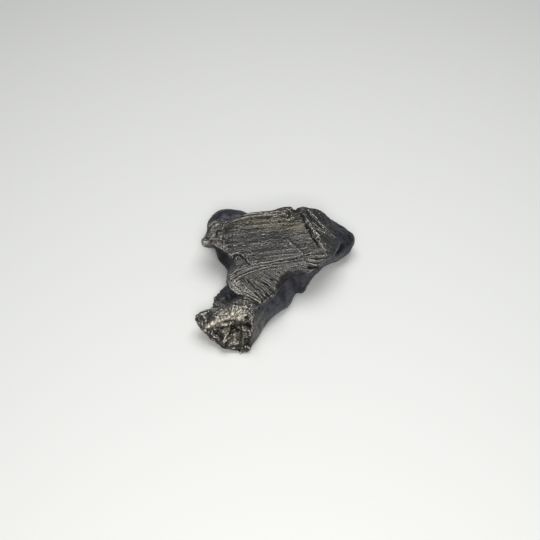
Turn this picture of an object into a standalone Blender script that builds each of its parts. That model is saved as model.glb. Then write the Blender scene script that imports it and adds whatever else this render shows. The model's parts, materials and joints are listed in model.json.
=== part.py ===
"""Shrapnel meteorite: one flattened, torn fragment of iron, 42 x 44 x 12 mm.

The stone is a thick slab of sheared metal (the plate) on a smooth, rounded body.
A stubby leg runs out to the front left and ends in a torn, spongy break. A lobe of the
plate overhangs a bay on the left, a second lump lies behind it, and the right end
tapers to a low rounded tip. The stone rests on three small worn flats.

Each mass is a loft of closed rings round the stone, in millimetres. The masses are
fused by a voxel remesh, the relief is pressed in, and the result is thinned to facets.
The origin is on the resting plane, at the middle of the plan. +Y is the back, +Z is up.
"""

import bmesh
import bpy
import numpy as np

NAME = "meteorite"
MM = 0.001

# Driving dimensions, in millimetres.
PLATE_HEIGHT = 10.9         # top of the sheared plate over its middle
PLATE_THICKNESS = 3.0       # depth of the plate's edge, down to its underside
PLATE_TILT = (0.02, 0.025)  # how much the plate rises per millimetre to the right and to the back
LOBE_FALL = 0.14            # fall of the lobe per millimetre, left of LOBE_START
LOBE_START = -11
STEP_DROP = 0.75            # the front part of the plate lies this much lower
STEP_SHARE = 0.45           # share of that drop that is a sharp step; the rest is a slope
STEP_SLOPE = 4.5            # width of the slope
CREST_HEIGHT = 11.9         # the fold where the right facet starts
CREST_SPREAD = 2.5          # how far the plate rises before it
FACET_SLOPE = 0.30          # fall of the right facet, near the crest
FACET_CURVE = 0.016         # how quickly that fall steepens
FACET_FRONT_FALL = 0.12     # extra fall of the facet towards the front, from FACET_FRONT
FACET_FRONT = 10
ROUNDING = 0.7              # fall of the plate's rim where it rolls over, front right
CLEARANCE = 0.45            # the underside stays this far above the resting plane, off its feet
PLAN_SHIFT = (0.0, -0.3)    # brings the middle of the plan onto the origin

# Fineness of the build.
VOXEL = 0.38                # grain of the fusing remesh
FACETS = 9400               # triangles left after thinning
RING_POINTS = 240           # points round each ring of a loft
LEG_RING_POINTS = 64        # points round each ring of the leg

# Rim of the plate, in plan, anticlockwise from the right end of the front edge.
# Each row is x, y and how far the underside is set back beneath that point.
PLATE_RIM = [
    (15.6, 4.4, 2.0), (16.6, 7.8, 1.0), (16.2, 11.8, 0.6), (14.5, 16.7, 0.6),     # end of the facet
    (11.6, 18.9, 0.8), (9.2, 18.8, 0.8), (6.9, 18.6, 0.8), (5.7, 18.2, 0.8),      # back of the facet
    (4.9, 17.6, 0.8), (4.1, 18.5, 0.8), (2.4, 19.0, 0.8), (0.8, 18.7, 0.8),       # notch and hump
    (-1.4, 17.8, 0.8), (-4.0, 17.5, 0.8), (-6.6, 17.2, 0.8), (-8.8, 16.4, 0.6),   # back edge
    (-11.1, 15.0, 0.4), (-13.4, 14.0, 0.2), (-16.0, 14.9, 0.2), (-18.3, 13.6, 0.6),
    (-18.5, 11.3, 1.2), (-19.5, 9.2, 1.8), (-20.0, 8.2, 2.0), (-19.7, 7.1, 2.2),  # tip of the lobe
    (-18.0, 6.7, 3.0), (-16.6, 6.1, 3.2), (-15.1, 4.7, 2.6), (-13.2, 2.9, 1.8),   # edge over the bay
    (-11.7, 1.3, 1.6), (-11.2, -1.0, 1.4), (-12.3, -3.0, 1.8), (-12.8, -4.8, 2.2),
    (-12.1, -7.7, 2.6), (-10.6, -9.6, 2.4), (-8.0, -10.6, 1.6), (-5.8, -11.9, 1.0),  # front corner
    (-3.8, -13.2, 1.0), (-2.3, -11.9, 0.8), (-0.8, -10.7, 0.8), (0.1, -8.9, 0.8),
    (1.0, -6.9, 0.6), (1.6, -5.0, 0.5), (3.3, -3.6, 0.6), (6.4, -3.3, 1.4),       # front right edge
    (8.4, -2.9, 2.4), (10.5, -1.3, 3.0), (12.2, 0.6, 3.2), (14.0, 2.4, 3.0),
]
PLATE_CENTRE = (-1.0, 3.0)
# Profile of the plate's edge from below up: how far in from the rim, the share of the
# set-back, and the depth below the top as a share of the thickness.
PLATE_EDGE = [(0.6, 1.0, 1.0), (0.1, 0.35, 0.6), (0.0, 0.0, 0.33), (0.05, 0.0, 0.1), (0.4, 0.0, 0.01)]
TOP_INSETS = np.arange(1.0, 16.0, 0.6)     # rings over the top, by how far in from the rim
CORE_INSET = 3.0                            # the lowest ring, inside the body
CORE_LEVEL = 4.5

# Edge of the upper layer, from the bay across to the right end: behind it lies the
# main plateau, and in front of it the lower step.
STEP_EDGE = [
    (-14.5, 2.2), (-12.2, 1.6), (-11.1, 2.3), (-9.8, 1.9), (-8.5, 0.4), (-6.7, -1.3),
    (-3.9, -1.0), (-0.6, -0.2), (3.3, 0.8), (7.2, 1.8), (11.1, 3.0), (16.0, 3.6),
]

# The crest, front to back: the facet to its right falls away to the tip.
CREST = [
    (14.0, -1.0), (11.0, 5.6), (9.9, 7.3), (9.4, 8.8), (8.2, 11.2), (7.2, 12.9), (6.7, 15.0), (6.7, 21.0),
]

# The melted part of the rim, front right, where the plate rolls over into the wall.
ROUNDED_EDGE = [
    (-0.9, -9.6), (0.3, -8.4), (1.0, -6.9), (1.6, -5.0), (3.3, -3.6), (6.0, -3.2), (7.6, -3.0),
]
ROUNDED_WIDTH = 1.8


def new_mesh(name, points, faces):
    """A mesh of the given points and faces, on an object outside any collection."""
    mesh = bpy.data.meshes.new(name)
    mesh.from_pydata([tuple(p) for p in points], [], faces)
    return mesh


def spline_ring(stations, count=RING_POINTS):
    """A closed Catmull-Rom curve through the stations, sampled evenly by station."""
    rows = np.asarray(stations, float)
    step = np.arange(count) * len(rows) / count
    first = np.floor(step).astype(int)
    t = (step - first)[:, None]
    p0, p1, p2, p3 = (rows[(first + k) % len(rows)] for k in (-1, 0, 1, 2))
    return 0.5 * (2 * p1 + (p2 - p0) * t + (2 * p0 - 5 * p1 + 4 * p2 - p3) * t ** 2
                  + (3 * p1 - p0 - 3 * p2 + p3) * t ** 3)


def loft(name, rings):
    """A closed body through rings of equal count, from the lowest to the highest."""
    count = len(rings[0])
    points = np.concatenate(rings + [rings[0].mean(0)[None], rings[-1].mean(0)[None]])
    bottom = count * len(rings)
    faces = []
    for level in range(len(rings) - 1):
        for k in range(count):
            a = level * count + k
            b = level * count + (k + 1) % count
            faces.append((a, b, b + count, a + count))
    for k in range(count):
        nxt = (k + 1) % count
        faces.append((bottom, nxt, k))
        faces.append((bottom + 1, bottom - count + k, bottom - count + nxt))
    return new_mesh(name, points, faces)


def path_distance(path, x, y):
    """Signed distance to a path in plan, positive on its left, and the length run along it."""
    best = np.full(np.shape(x), 1e9)
    signed = np.zeros(np.shape(x))
    length = np.zeros(np.shape(x))
    run = 0.0
    for (ax, ay), (bx, by) in zip(path[:-1], path[1:]):
        ux, uy = bx - ax, by - ay
        size = np.hypot(ux, uy)
        t = np.clip(((x - ax) * ux + (y - ay) * uy) / size ** 2, 0, 1)
        dx, dy = x - ax - t * ux, y - ay - t * uy
        gap = np.hypot(dx, dy)
        side = np.where(ux * dy - uy * dx >= 0, 1.0, -1.0)
        nearer = gap < best
        best = np.where(nearer, gap, best)
        signed = np.where(nearer, gap * side, signed)
        length = np.where(nearer, run + t * size, length)
        run += size
    return signed, length


def gap_in_space(path, points):
    """Distance from each point to a path in space."""
    rows = np.asarray(path, float)
    best = np.full(len(points), 1e9)
    for a, b in zip(rows[:-1], rows[1:]):
        t = np.clip((points - a) @ (b - a) / np.sum((b - a) ** 2), 0, 1)
        best = np.minimum(best, np.linalg.norm(points - a - t[:, None] * (b - a), axis=1))
    return best


def smooth(edge0, edge1, value):
    """0 below edge0, 1 above edge1, with an even S-shaped rise between."""
    t = np.clip((value - edge0) / (edge1 - edge0), 0, 1)
    return t * t * (3 - 2 * t)


def top_height(x, y):
    """Height of the plate's upper side: a plateau, and the facet right of the crest."""
    plateau = PLATE_HEIGHT + PLATE_TILT[1] * (y - 2) + PLATE_TILT[0] * np.clip(x, -9, 8)
    plateau = plateau - LOBE_FALL * np.clip(LOBE_START - x, 0, 9)
    beyond, _ = path_distance(CREST, x, y)
    right = np.clip(-beyond, 0, None)
    facet = CREST_HEIGHT - FACET_SLOPE * right - FACET_CURVE * right ** 2
    facet = facet - FACET_FRONT_FALL * np.clip(FACET_FRONT - y, 0, 12)
    rise = np.exp(-(np.clip(beyond, 0, None) / CREST_SPREAD) ** 2) * (CREST_HEIGHT - PLATE_HEIGHT - 0.5)
    plateau = plateau + rise * smooth(6, 14, y) - 0.03 * np.clip(-2 - y, 0, 12)
    return np.where(beyond > 0, plateau, np.minimum(facet, plateau + 0.5))


def plate():
    """The slab: rings in from the rim under and over it, at the plate's own height."""
    rim = spline_ring(PLATE_RIM)
    centre = np.array(PLATE_CENTRE)
    arm = rim[:, :2] - centre
    reach = np.hypot(arm[:, 0], arm[:, 1])[:, None]
    back = rim[:, 2:3]

    def plan(inset):
        return centre + arm * np.clip(1 - inset / reach, 0.02, None)

    def ring(inset, depth):
        xy = plan(inset)
        return np.column_stack([xy, top_height(xy[:, 0], xy[:, 1]) - depth])

    rings = [np.column_stack([plan(back + CORE_INSET), np.full(RING_POINTS, CORE_LEVEL)])]
    for inset, share, depth in PLATE_EDGE:
        rings.append(ring(inset + share * back, depth * PLATE_THICKNESS))
    for inset in TOP_INSETS:
        rings.append(ring(inset, 0.0))
    return loft("plate", rings)


# The body under the plate. Each row is an angle in degrees round BODY_CENTRE, the
# widest reach there, the height of that widest belt, and the reach at the foot.
BODY_CENTRE = (-1.0, 3.0)
BODY = [
    (3, 13.1, 4.0, 9.0), (10, 15.4, 4.0, 10.0), (14, 19.2, 4.0, 12.0), (17, 21.9, 4.2, 14.0),
    (21, 23.4, 4.4, 15.0), (25, 24.2, 4.8, 15.0), (31, 23.8, 5.4, 14.0), (40, 22.6, 6.2, 13.5),
    (49, 21.6, 6.8, 13.0), (58, 18.6, 7.0, 12.5), (70, 16.8, 7.0, 12.0), (90, 15.2, 6.5, 11.5),
    (103, 14.9, 6.0, 12.0), (111, 18.2, 6.6, 12.5), (118, 21.0, 6.4, 13.0), (124, 22.6, 6.0, 13.5),
    (130, 23.0, 5.6, 13.5), (137, 22.2, 5.4, 13.5), (144, 20.8, 5.2, 13.0), (152, 18.6, 5.0, 12.5),
    (160, 16.4, 4.0, 12.0), (167, 14.6, 3.2, 11.0), (173, 12.8, 3.0, 10.0), (181, 12.1, 3.0, 9.8),
    (190, 12.6, 3.0, 10.0), (198, 13.1, 3.0, 10.3), (208, 13.2, 3.6, 10.5), (222, 14.0, 4.2, 12.0),
    (240, 15.0, 4.6, 13.0), (256, 15.6, 3.6, 14.4), (268, 13.8, 3.2, 12.8), (281, 12.2, 3.0, 11.4),
    (290, 11.4, 3.0, 10.4), (299, 10.3, 3.0, 9.2), (308, 9.2, 3.0, 8.0), (318, 8.8, 2.4, 7.6),
    (330, 9.3, 1.8, 8.2), (350, 10.4, 2.6, 8.4),
]


# Profile of the wall from below up: shares of the foot's and of the widest reach, and
# the height as a share of the belt's plus a fixed part.
WALL = [
    (0.6, 0.0, 0.0, 0.9), (0.9, 0.0, 0.0, 0.3), (1.0, 0.0, 0.0, 0.6), (0.35, 0.65, 0.36, 0.0),
    (0.0, 0.985, 0.75, 0.0), (0.0, 1.0, 1.0, 0.0), (0.0, 0.96, 0.6, 3.4), (0.0, 0.8, 0.0, 9.0),
    (0.0, 0.4, 0.0, 9.3),
]


def body():
    """The rounded core that carries the plate."""
    stations = []
    for angle, reach, belt, foot in BODY:
        stations.append((np.cos(np.radians(angle)), np.sin(np.radians(angle)), reach, belt, foot))
    rows = spline_ring(stations)
    direction = rows[:, :2] / np.hypot(rows[:, 0], rows[:, 1])[:, None]
    reach, belt, foot = (rows[:, k:k + 1] for k in (2, 3, 4))
    rings = []
    for foot_share, reach_share, belt_share, extra in WALL:
        plan = np.array(BODY_CENTRE) + direction * (foot_share * foot + reach_share * reach)
        rings.append(np.column_stack([plan, belt_share * belt + extra]))
    return loft("body", rings)


# The leg, as upright sections from inside the body out to the torn end. Each row is
# a section's points: left foot, left shoulder, left of the top, top, right of the top,
# right flank, right foot, underside.
LEG = [
    [(-9.0, 2.0, 0.8), (-11.0, 1.0, 3.4), (-10.0, -0.5, 7.8), (-5.0, -3.5, 9.0),
     (0.0, -6.0, 8.4), (2.8, -6.8, 4.6), (2.4, -6.2, 1.0), (-4.0, -3.0, 0.6)],
    [(-11.5, -2.5, 0.8), (-13.8, -3.2, 3.4), (-12.0, -5.0, 6.0), (-7.5, -8.4, 8.8),
     (-2.6, -10.2, 8.8), (1.4, -9.4, 4.0), (0.9, -8.3, 0.8), (-5.0, -6.0, 0.5)],
    [(-13.0, -6.4, 0.8), (-15.9, -6.3, 4.2), (-13.6, -8.2, 5.2), (-9.4, -11.0, 8.6),
     (-4.6, -12.6, 9.0), (-1.4, -12.2, 4.2), (-1.9, -10.9, 0.6), (-7.5, -9.0, 0.4)],
    [(-14.6, -9.8, 1.0), (-16.5, -9.2, 4.8), (-15.2, -11.4, 6.4), (-10.6, -13.0, 8.9),
     (-5.8, -13.8, 9.2), (-3.6, -14.6, 4.6), (-3.9, -13.9, 0.3), (-9.5, -12.2, 0.3)],
    [(-16.6, -13.0, 1.6), (-18.8, -12.0, 5.6), (-16.9, -13.8, 6.9), (-11.8, -14.8, 8.9),
     (-6.4, -14.4, 9.3), (-4.9, -16.4, 4.8), (-5.1, -16.3, 0.2), (-11.0, -15.6, 0.2)],
    [(-17.8, -15.4, 2.2), (-20.6, -13.6, 5.5), (-17.9, -16.0, 6.6), (-12.2, -15.9, 8.9),
     (-6.2, -15.6, 9.1), (-5.7, -18.0, 4.8), (-6.2, -18.8, 0.2), (-12.0, -18.4, 0.4)],
    [(-17.9, -17.8, 2.8), (-21.2, -14.8, 5.0), (-18.2, -17.6, 6.0), (-12.4, -16.9, 8.4),
     (-6.6, -17.0, 8.6), (-6.3, -19.6, 5.0), (-7.3, -21.7, 0.3), (-12.8, -21.0, 1.2)],
]
TORN_CENTRE = (-12.4, -19.6, 4.6)
TORN_SHARE = 0.55     # the last ring is drawn in towards that centre by this share


def leg():
    """The leg: a loft along its length, closed by its torn face."""
    rings = [spline_ring(section, LEG_RING_POINTS) for section in LEG]
    face = np.array(TORN_CENTRE)
    rings.append(face + (rings[-1] - face) * TORN_SHARE)
    return loft("leg", rings)


def lump(name, centre, radii, turn=0.0):
    """A rounded knob: a sphere stretched to three radii and turned about the vertical."""
    bm = bmesh.new()
    bmesh.ops.create_icosphere(bm, subdivisions=4, radius=1.0)
    mesh = bpy.data.meshes.new(name)
    bm.to_mesh(mesh)
    bm.free()
    count = len(mesh.vertices)
    unit = np.empty(count * 3, np.float32)
    mesh.vertices.foreach_get("co", unit)
    unit = unit.reshape(count, 3) * radii
    c, s = np.cos(np.radians(turn)), np.sin(np.radians(turn))
    across = unit[:, 0] * c - unit[:, 1] * s
    along = unit[:, 0] * s + unit[:, 1] * c
    placed = np.column_stack([across, along, unit[:, 2]]) + centre
    mesh.vertices.foreach_set("co", placed.astype(np.float32).ravel())
    return mesh


# Rounded knobs: centre, radii and turn.
LUMPS = {
    "back_lump": ((-13.6, 17.0, 5.0), (5.6, 5.2, 4.1), 20),
    "back_lump_end": ((-15.6, 14.8, 5.2), (3.4, 4.8, 3.6), 0),
    "back_lump_root": ((-9.4, 17.2, 5.4), (4.2, 3.4, 3.2), -15),
    "back_lump_skirt": ((-11.6, 18.4, 3.6), (4.6, 3.2, 2.6), 15),
    "tip_inner": ((14.6, 11.0, 4.8), (4.0, 5.6, 3.8), -20),
    "tip_outer": ((18.1, 12.2, 4.6), (3.2, 3.4, 2.5), -30),
    "under_lobe": ((-13.8, 8.8, 3.4), (2.2, 3.4, 3.0), 20),
    "wall_knob": ((6.3, -2.0, 1.5), (1.2, 0.9, 0.9), 30),
}
# Worn feet, in plan: x, y and the radius of the flat.
FEET = [(-9.4, -17.4, 2.6), (8.8, 6.4, 2.6), (-10.4, 12.0, 2.8)]
FOOT_KNOB = (1.35, 2.6)     # a foot's knob: its radius over the flat's, and its half height
FOOT_SINK = 0.7             # how far a knob reaches below the resting plane
FOOT_RAGGED = (0.28, 2.3)   # unevenness of a flat's outline: share of its radius, and size


def noise(points, size, seed):
    """Smooth noise from -1 to 1 over cells of a given size, from a hashed lattice."""
    scaled = points / size
    cell = np.floor(scaled).astype(np.int64)
    t = scaled - cell
    t = t * t * (3 - 2 * t)
    total = np.zeros(len(points))
    for corner in range(8):
        step = np.array([corner & 1, corner >> 1 & 1, corner >> 2 & 1])
        i, j, k = (cell + step).T
        code = (i * 374761393 + j * 668265263 + k * 974634777 + seed * 1274126177) & 0xFFFFFFFF
        code = ((code ^ code >> 13) * 1274126177) & 0xFFFFFFFF
        value = ((code ^ code >> 16) & 0xFFFF) / 32767.5 - 1
        total += value * np.prod(np.where(step, t, 1 - t), axis=1)
    return total


def bump_at(points, centre, radius):
    """1 at a centre, falling smoothly to 0 at the radius (one radius, or one per axis)."""
    gap = np.linalg.norm((points - np.array(centre)) / np.array(radius), axis=1)
    return 1 - smooth(0.0, 1.0, gap)


def ledge(gap, height, spread, groove, groove_width):
    """A lip standing on the far side of an edge, with a groove pressed in on the near side."""
    lip = height * np.exp(-np.clip(gap, 0, None) / spread) * smooth(-0.35, 0.25, gap)
    return lip - groove * np.exp(-(np.clip(gap + 0.1, None, 0) / groove_width) ** 2) * (gap < 0.1)


# Low relief. Lip paths run so that the raised side is on their left.
TOP_FOLD = [(0.0, 15.2), (1.1, 14.3), (2.1, 13.7), (3.4, 13.6), (4.2, 14.3), (4.3, 16.2), (3.9, 18.6)]
RIM_FOLD = [(11.6, 0.9), (9.2, 0.7), (7.0, -0.2), (6.4, -1.4)]
LOWER_FOLD = [(-1.2, -9.6), (-3.6, -11.6), (-5.6, -10.4), (-8.2, -9.4)]
# Hollows: centre, radii and depth.
HOLLOWS = [
    ((-10.4, -19.6, 4.8), (2.6, 2.6, 3.0), 1.6),      # deep pocket in the torn face
    ((-15.2, -19.4, 3.6), (2.6, 2.4, 1.6), 0.8),      # hollow at its left
    ((-7.6, -17.8, 6.4), (1.5, 1.5, 1.5), 0.9),       # smaller pockets at its right
    ((-7.5, -16.6, 8.2), (1.1, 1.1, 1.1), 0.6),
    ((-9.3, -17.6, 6.2), (1.2, 1.2, 1.2), 0.5),
    ((-7.6, -19.1, 5.4), (1.2, 1.2, 1.2), 0.6),
    ((-9.0, -11.8, 8.6), (1.6, 1.4, 1.6), 1.0),       # deepest part of the notch
    ((-13.4, -9.0, 6.6), (3.0, 2.4, 2.4), 0.9),       # notch under the plate's corner
    ((8.4, -1.6, 6.0), (2.4, 2.0, 2.0), 1.3),         # cavity under the front right fold
    ((16.6, 8.6, 5.4), (1.3, 2.2, 2.2), 0.9),         # groove between the tip's two knobs
    ((10.0, 8.0, 11.0), (0.9, 0.9, 1.2), 0.5),        # pit at the end of the crest
    ((0.4, 17.4, 5.6), (4.6, 2.6, 3.2), 1.0),         # thumbprints along the back
    ((-6.2, 17.6, 6.4), (2.2, 2.4, 3.4), 1.0),
    ((8.4, 18.6, 5.4), (3.0, 3.0, 2.8), 0.7),
    ((15.4, 17.8, 4.6), (3.8, 3.0, 2.6), 0.9),
    ((-18.4, 17.4, 4.4), (2.6, 3.0, 2.2), 0.7),
    ((-14.4, 21.6, 4.2), (2.8, 2.2, 2.0), 0.6),
    ((0.0, 1.6, 0.6), (7.0, 6.0, 2.4), 1.1),          # hollows of the underside
    ((-7.6, -7.6, 0.4), (4.4, 4.0, 2.4), 0.7),
    ((-1.6, 11.6, 0.6), (5.4, 4.0, 2.2), 0.7),
    ((15.6, 12.4, 1.6), (4.0, 4.0, 2.0), 0.5),
    ((1.6, -8.4, 5.2), (2.0, 2.0, 2.6), 0.4),         # dents in the right wall
    ((-3.0, -13.6, 3.4), (2.0, 2.0, 2.0), 0.3),
]
RIDGES = [
    ((-13.2, -20.6, 3.4), (1.0, 2.4, 2.6), 0.8),      # spur down the torn face
    ((-7.4, -19.6, 6.2), (0.9, 1.4, 2.6), 0.6),       # right rim of the pocket
    ((-12.0, -16.2, 9.0), (4.0, 1.0, 1.6), 0.5),      # torn crest
]


# Lines in space: path, height (negative for a groove) and width.
LINES = [
    ([(-11.7, -17.4, 7.0), (-12.0, -18.0, 5.5), (-12.8, -19.4, 4.4), (-14.0, -20.5, 2.7)], 0.6, 0.4),
    ([(-13.5, -20.6, 3.2), (-11.8, -18.9, 3.3), (-9.7, -17.8, 3.9)], 0.4, 0.4),
    ([(15.5, 5.7, 6.8), (16.1, 6.2, 7.0), (16.9, 7.3, 6.7), (17.5, 7.7, 6.9), (18.0, 9.0, 6.9)], -1.1, 0.7),
    ([(-18.6, 10.8, 8.8), (-17.9, 12.8, 8.6), (-16.9, 13.9, 9.0)], -0.5, 0.5),
]
# Below the lobe the wall is set back: centre and radii of that region, and the shift.
UNDERCUT = ((-17.4, 5.2, 6.2), (3.6, 3.4, 3.0))
UNDERCUT_SHIFT = (1.6, 1.9, 0.0)
# Slow unevenness: height and cell size.
SWELL = (0.16, 5.5)
WALL_SWELL = (0.22, 5.5)
WALL_DENTS = (0.16, 2.4)
SPONGE_LUMPS = (0.45, 2.2)
SPONGE_RIBS = (0.40, 1.3)
SPONGE_SINK = 0.25
LOBE_GRAINS = (0.22, 1.5)
PLATE_GRAIN = (0.06, 0.9)
# Ledges: height, spread of the lip, depth of the groove and its width.
CREST_LEDGE = (0.26, 0.8, 0.35, 0.45)
FOLD_LEDGE = (0.25, 0.6, 0.2, 0.35)


def zones(points, normals):
    """Masks of the plate's top, of the spongy iron, and of the granular lobe."""
    x, y, z = points.T
    on_top = smooth(0.35, 0.75, normals[:, 2]) * smooth(-1.6, -0.7, z - top_height(x, y))
    torn = smooth(-13.2, -15.0, y + 0.12 * (x + 9)) * smooth(-5.2, -6.6, x)
    spongy = smooth(-9.4, -11.4, y + 0.2 * (x + 9)) * smooth(-3.0, -6.0, x) * smooth(2.0, 5.0, z)
    lobe = smooth(-10.5, -14.5, x) * smooth(-1.0, 2.0, y)
    return on_top, np.maximum(torn, spongy), lobe


def rounded_edge(x, y):
    """1 on the melted part of the rim, falling to 0 inwards and at both ends."""
    gap, length = path_distance(ROUNDED_EDGE, x, y)
    return smooth(ROUNDED_WIDTH, 0.1, np.abs(gap)) * smooth(0.2, 3.4, length) * smooth(13.4, 9.0, length)


def relief(points, normals):
    """The pressed-in detail: each vertex moves along its normal, or straight up on the plate."""
    x, y, z = points.T
    on_top, rough, lobe = zones(points, normals)
    walls = 1 - on_top
    out = (SWELL[0] + WALL_SWELL[0] * walls) * noise(points, SWELL[1], 1)
    out += WALL_DENTS[0] * walls * noise(points, WALL_DENTS[1], 2)
    out += rough * (SPONGE_LUMPS[0] * noise(points, SPONGE_LUMPS[1], 3) - SPONGE_SINK)
    out += rough * SPONGE_RIBS[0] * np.abs(noise(points, SPONGE_RIBS[1], 4))
    out += lobe * LOBE_GRAINS[0] * noise(points, LOBE_GRAINS[1], 5)
    for centre, radii, depth in HOLLOWS:
        out -= depth * bump_at(points, centre, radii)
    for centre, radii, height in RIDGES:
        out += height * bump_at(points, centre, radii)
    for path, height, width in LINES:
        out += height * np.exp(-(gap_in_space(path, points) / width) ** 2)

    streaks = np.column_stack([x * 0.12 + y * 0.02, y - 0.13 * x, z * 0])
    up = PLATE_GRAIN[0] * noise(streaks, PLATE_GRAIN[1], 6)
    step, _ = path_distance(STEP_EDGE, x, y)
    up -= STEP_DROP * STEP_SHARE * smooth(0.15, -0.20, step)
    up -= STEP_DROP * (1 - STEP_SHARE) * smooth(0.5, -STEP_SLOPE, step)
    crack, _ = path_distance(CREST[:-1], x, y)
    up += ledge(-crack, *CREST_LEDGE) * smooth(17.0, 14.0, y) * smooth(3.5, 5.5, y)
    for fold in (TOP_FOLD, RIM_FOLD, LOWER_FOLD):
        gap, _ = path_distance(fold, x, y)
        up += ledge(gap, *FOLD_LEDGE) * smooth(1.8, 0.8, np.abs(gap))
    up -= ROUNDING * rounded_edge(x, y) ** 2
    moved = points + normals * out[:, None] + np.array(UNDERCUT_SHIFT) * bump_at(points, *UNDERCUT)[:, None]
    moved[:, 2] += on_top * up
    return stand_on_feet(moved)


def stand_on_feet(points):
    """Only the feet reach the resting plane: they are pressed through it, the rest is kept off."""
    reach = np.zeros(len(points))
    ragged = 1 + FOOT_RAGGED[0] * noise(points * (1, 1, 0), FOOT_RAGGED[1], 9)
    for x, y, radius in FEET:
        gap = np.hypot(points[:, 0] - x, points[:, 1] - y)
        reach = np.maximum(reach, 1.3 - gap / (radius * ragged))
    reach = np.clip(reach / 0.6, 0, 1)
    low = 1 - smooth(0.6, 1.6, points[:, 2])
    floor = CLEARANCE * (1 - reach) - 2 * reach
    points[:, 2] = np.maximum(points[:, 2], floor) - 1.2 * reach * low
    return points


def fuse(meshes):
    """All the masses in one object, made one skin by a voxel remesh."""
    bm = bmesh.new()
    for mesh in meshes:
        bm.from_mesh(mesh)
    joined = bpy.data.meshes.new(NAME)
    bm.to_mesh(joined)
    bm.free()
    for mesh in meshes:
        bpy.data.meshes.remove(mesh)
    stone = bpy.data.objects.new(NAME, joined)
    collection = bpy.data.collections.new(NAME)
    bpy.context.scene.collection.children.link(collection)
    collection.objects.link(stone)
    remesh = stone.modifiers.new("fuse", "REMESH")
    remesh.mode = "VOXEL"
    remesh.voxel_size = VOXEL
    apply_modifiers(stone)
    return stone


def keep_outer_skin(stone):
    """Drop the closed pockets that the masses leave between them, so that the iron is solid."""
    bm = bmesh.new()
    bm.from_mesh(stone.data)
    unseen = set(bm.verts)
    skins = []
    while unseen:
        skin = {unseen.pop()}
        front = list(skin)
        while front:
            vertex = front.pop()
            for edge in vertex.link_edges:
                other = edge.other_vert(vertex)
                if other in unseen:
                    unseen.remove(other)
                    skin.add(other)
                    front.append(other)
        skins.append(skin)
    outer = max(skins, key=len)
    for skin in skins:
        if skin is not outer:
            bmesh.ops.delete(bm, geom=list(skin), context="VERTS")
    bm.to_mesh(stone.data)
    bm.free()


def apply_modifiers(stone):
    """The object's mesh becomes what its modifiers make of it."""
    graph = bpy.context.evaluated_depsgraph_get()
    result = bpy.data.meshes.new_from_object(stone.evaluated_get(graph))
    old = stone.data
    stone.modifiers.clear()
    stone.data = result
    result.name = NAME
    bpy.data.meshes.remove(old)


def read_vertices(mesh):
    """Vertex positions and normals, as arrays of rows."""
    points = np.empty(len(mesh.vertices) * 3, np.float32)
    normals = np.empty(len(mesh.vertices) * 3, np.float32)
    mesh.vertices.foreach_get("co", points)
    mesh.vertex_normals.foreach_get("vector", normals)
    return points.reshape(-1, 3).astype(float), normals.reshape(-1, 3).astype(float)


def press_relief(stone):
    """Move every vertex of the fused skin by the relief."""
    points, normals = read_vertices(stone.data)
    stone.data.vertices.foreach_set("co", relief(points, normals).astype(np.float32).ravel())
    stone.data.update()


def cut_feet(stone):
    """Everything below the resting plane is cut away, which leaves the worn flats."""
    bm = bmesh.new()
    bm.from_mesh(stone.data)
    everything = bm.verts[:] + bm.edges[:] + bm.faces[:]
    bmesh.ops.bisect_plane(bm, geom=everything, dist=0.01, plane_co=(0, 0, 0),
                           plane_no=(0, 0, -1), clear_outer=True)
    rim = [edge for edge in bm.edges if edge.is_boundary]
    bmesh.ops.holes_fill(bm, edges=rim, sides=0)
    bmesh.ops.triangulate(bm, faces=[face for face in bm.faces if len(face.verts) > 3])
    bm.to_mesh(stone.data)
    bm.free()


def iron():
    """Dark gunmetal iron with a worn sheen."""
    material = bpy.data.materials.new("iron")
    material.use_nodes = True
    shader = material.node_tree.nodes["Principled BSDF"]
    shader.inputs["Base Color"].default_value = (0.10, 0.095, 0.09, 1.0)
    shader.inputs["Metallic"].default_value = 0.85
    shader.inputs["Roughness"].default_value = 0.42
    return material


def main():
    for thing in list(bpy.data.objects):
        bpy.data.objects.remove(thing, do_unlink=True)
    meshes = [plate(), body(), leg()] + [lump(name, *row) for name, row in LUMPS.items()]
    for x, y, radius in FEET:
        knob = (radius * FOOT_KNOB[0], radius * FOOT_KNOB[0], FOOT_KNOB[1])
        meshes.append(lump("foot", (x, y, FOOT_KNOB[1] - FOOT_SINK), knob))
    stone = fuse(meshes)
    keep_outer_skin(stone)
    press_relief(stone)
    thin = stone.modifiers.new("facets", "DECIMATE")
    thin.ratio = FACETS / (2 * len(stone.data.polygons))
    apply_modifiers(stone)
    cut_feet(stone)
    stone.data.materials.append(iron())
    points, _ = read_vertices(stone.data)
    points[:, :2] += PLAN_SHIFT
    stone.data.vertices.foreach_set("co", (points * MM).astype(np.float32).ravel())
    stone.data.update()


main()
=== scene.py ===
# %% [markdown]
# # A shrapnel iron meteorite
# This stone is a fragment of a large iron meteorite that burst in the air. The burst tore the
# metal like a thick sheet: one side is sheared flat and scored with long parallel lines, the
# rims are folded over, and the leg in front ended in a ragged, spongy break. The other sides are
# smooth and dark, because a thin skin melted on them during the fall.
# We load the measured solid first. It is the frame that the detailed stone has to fill.

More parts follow.
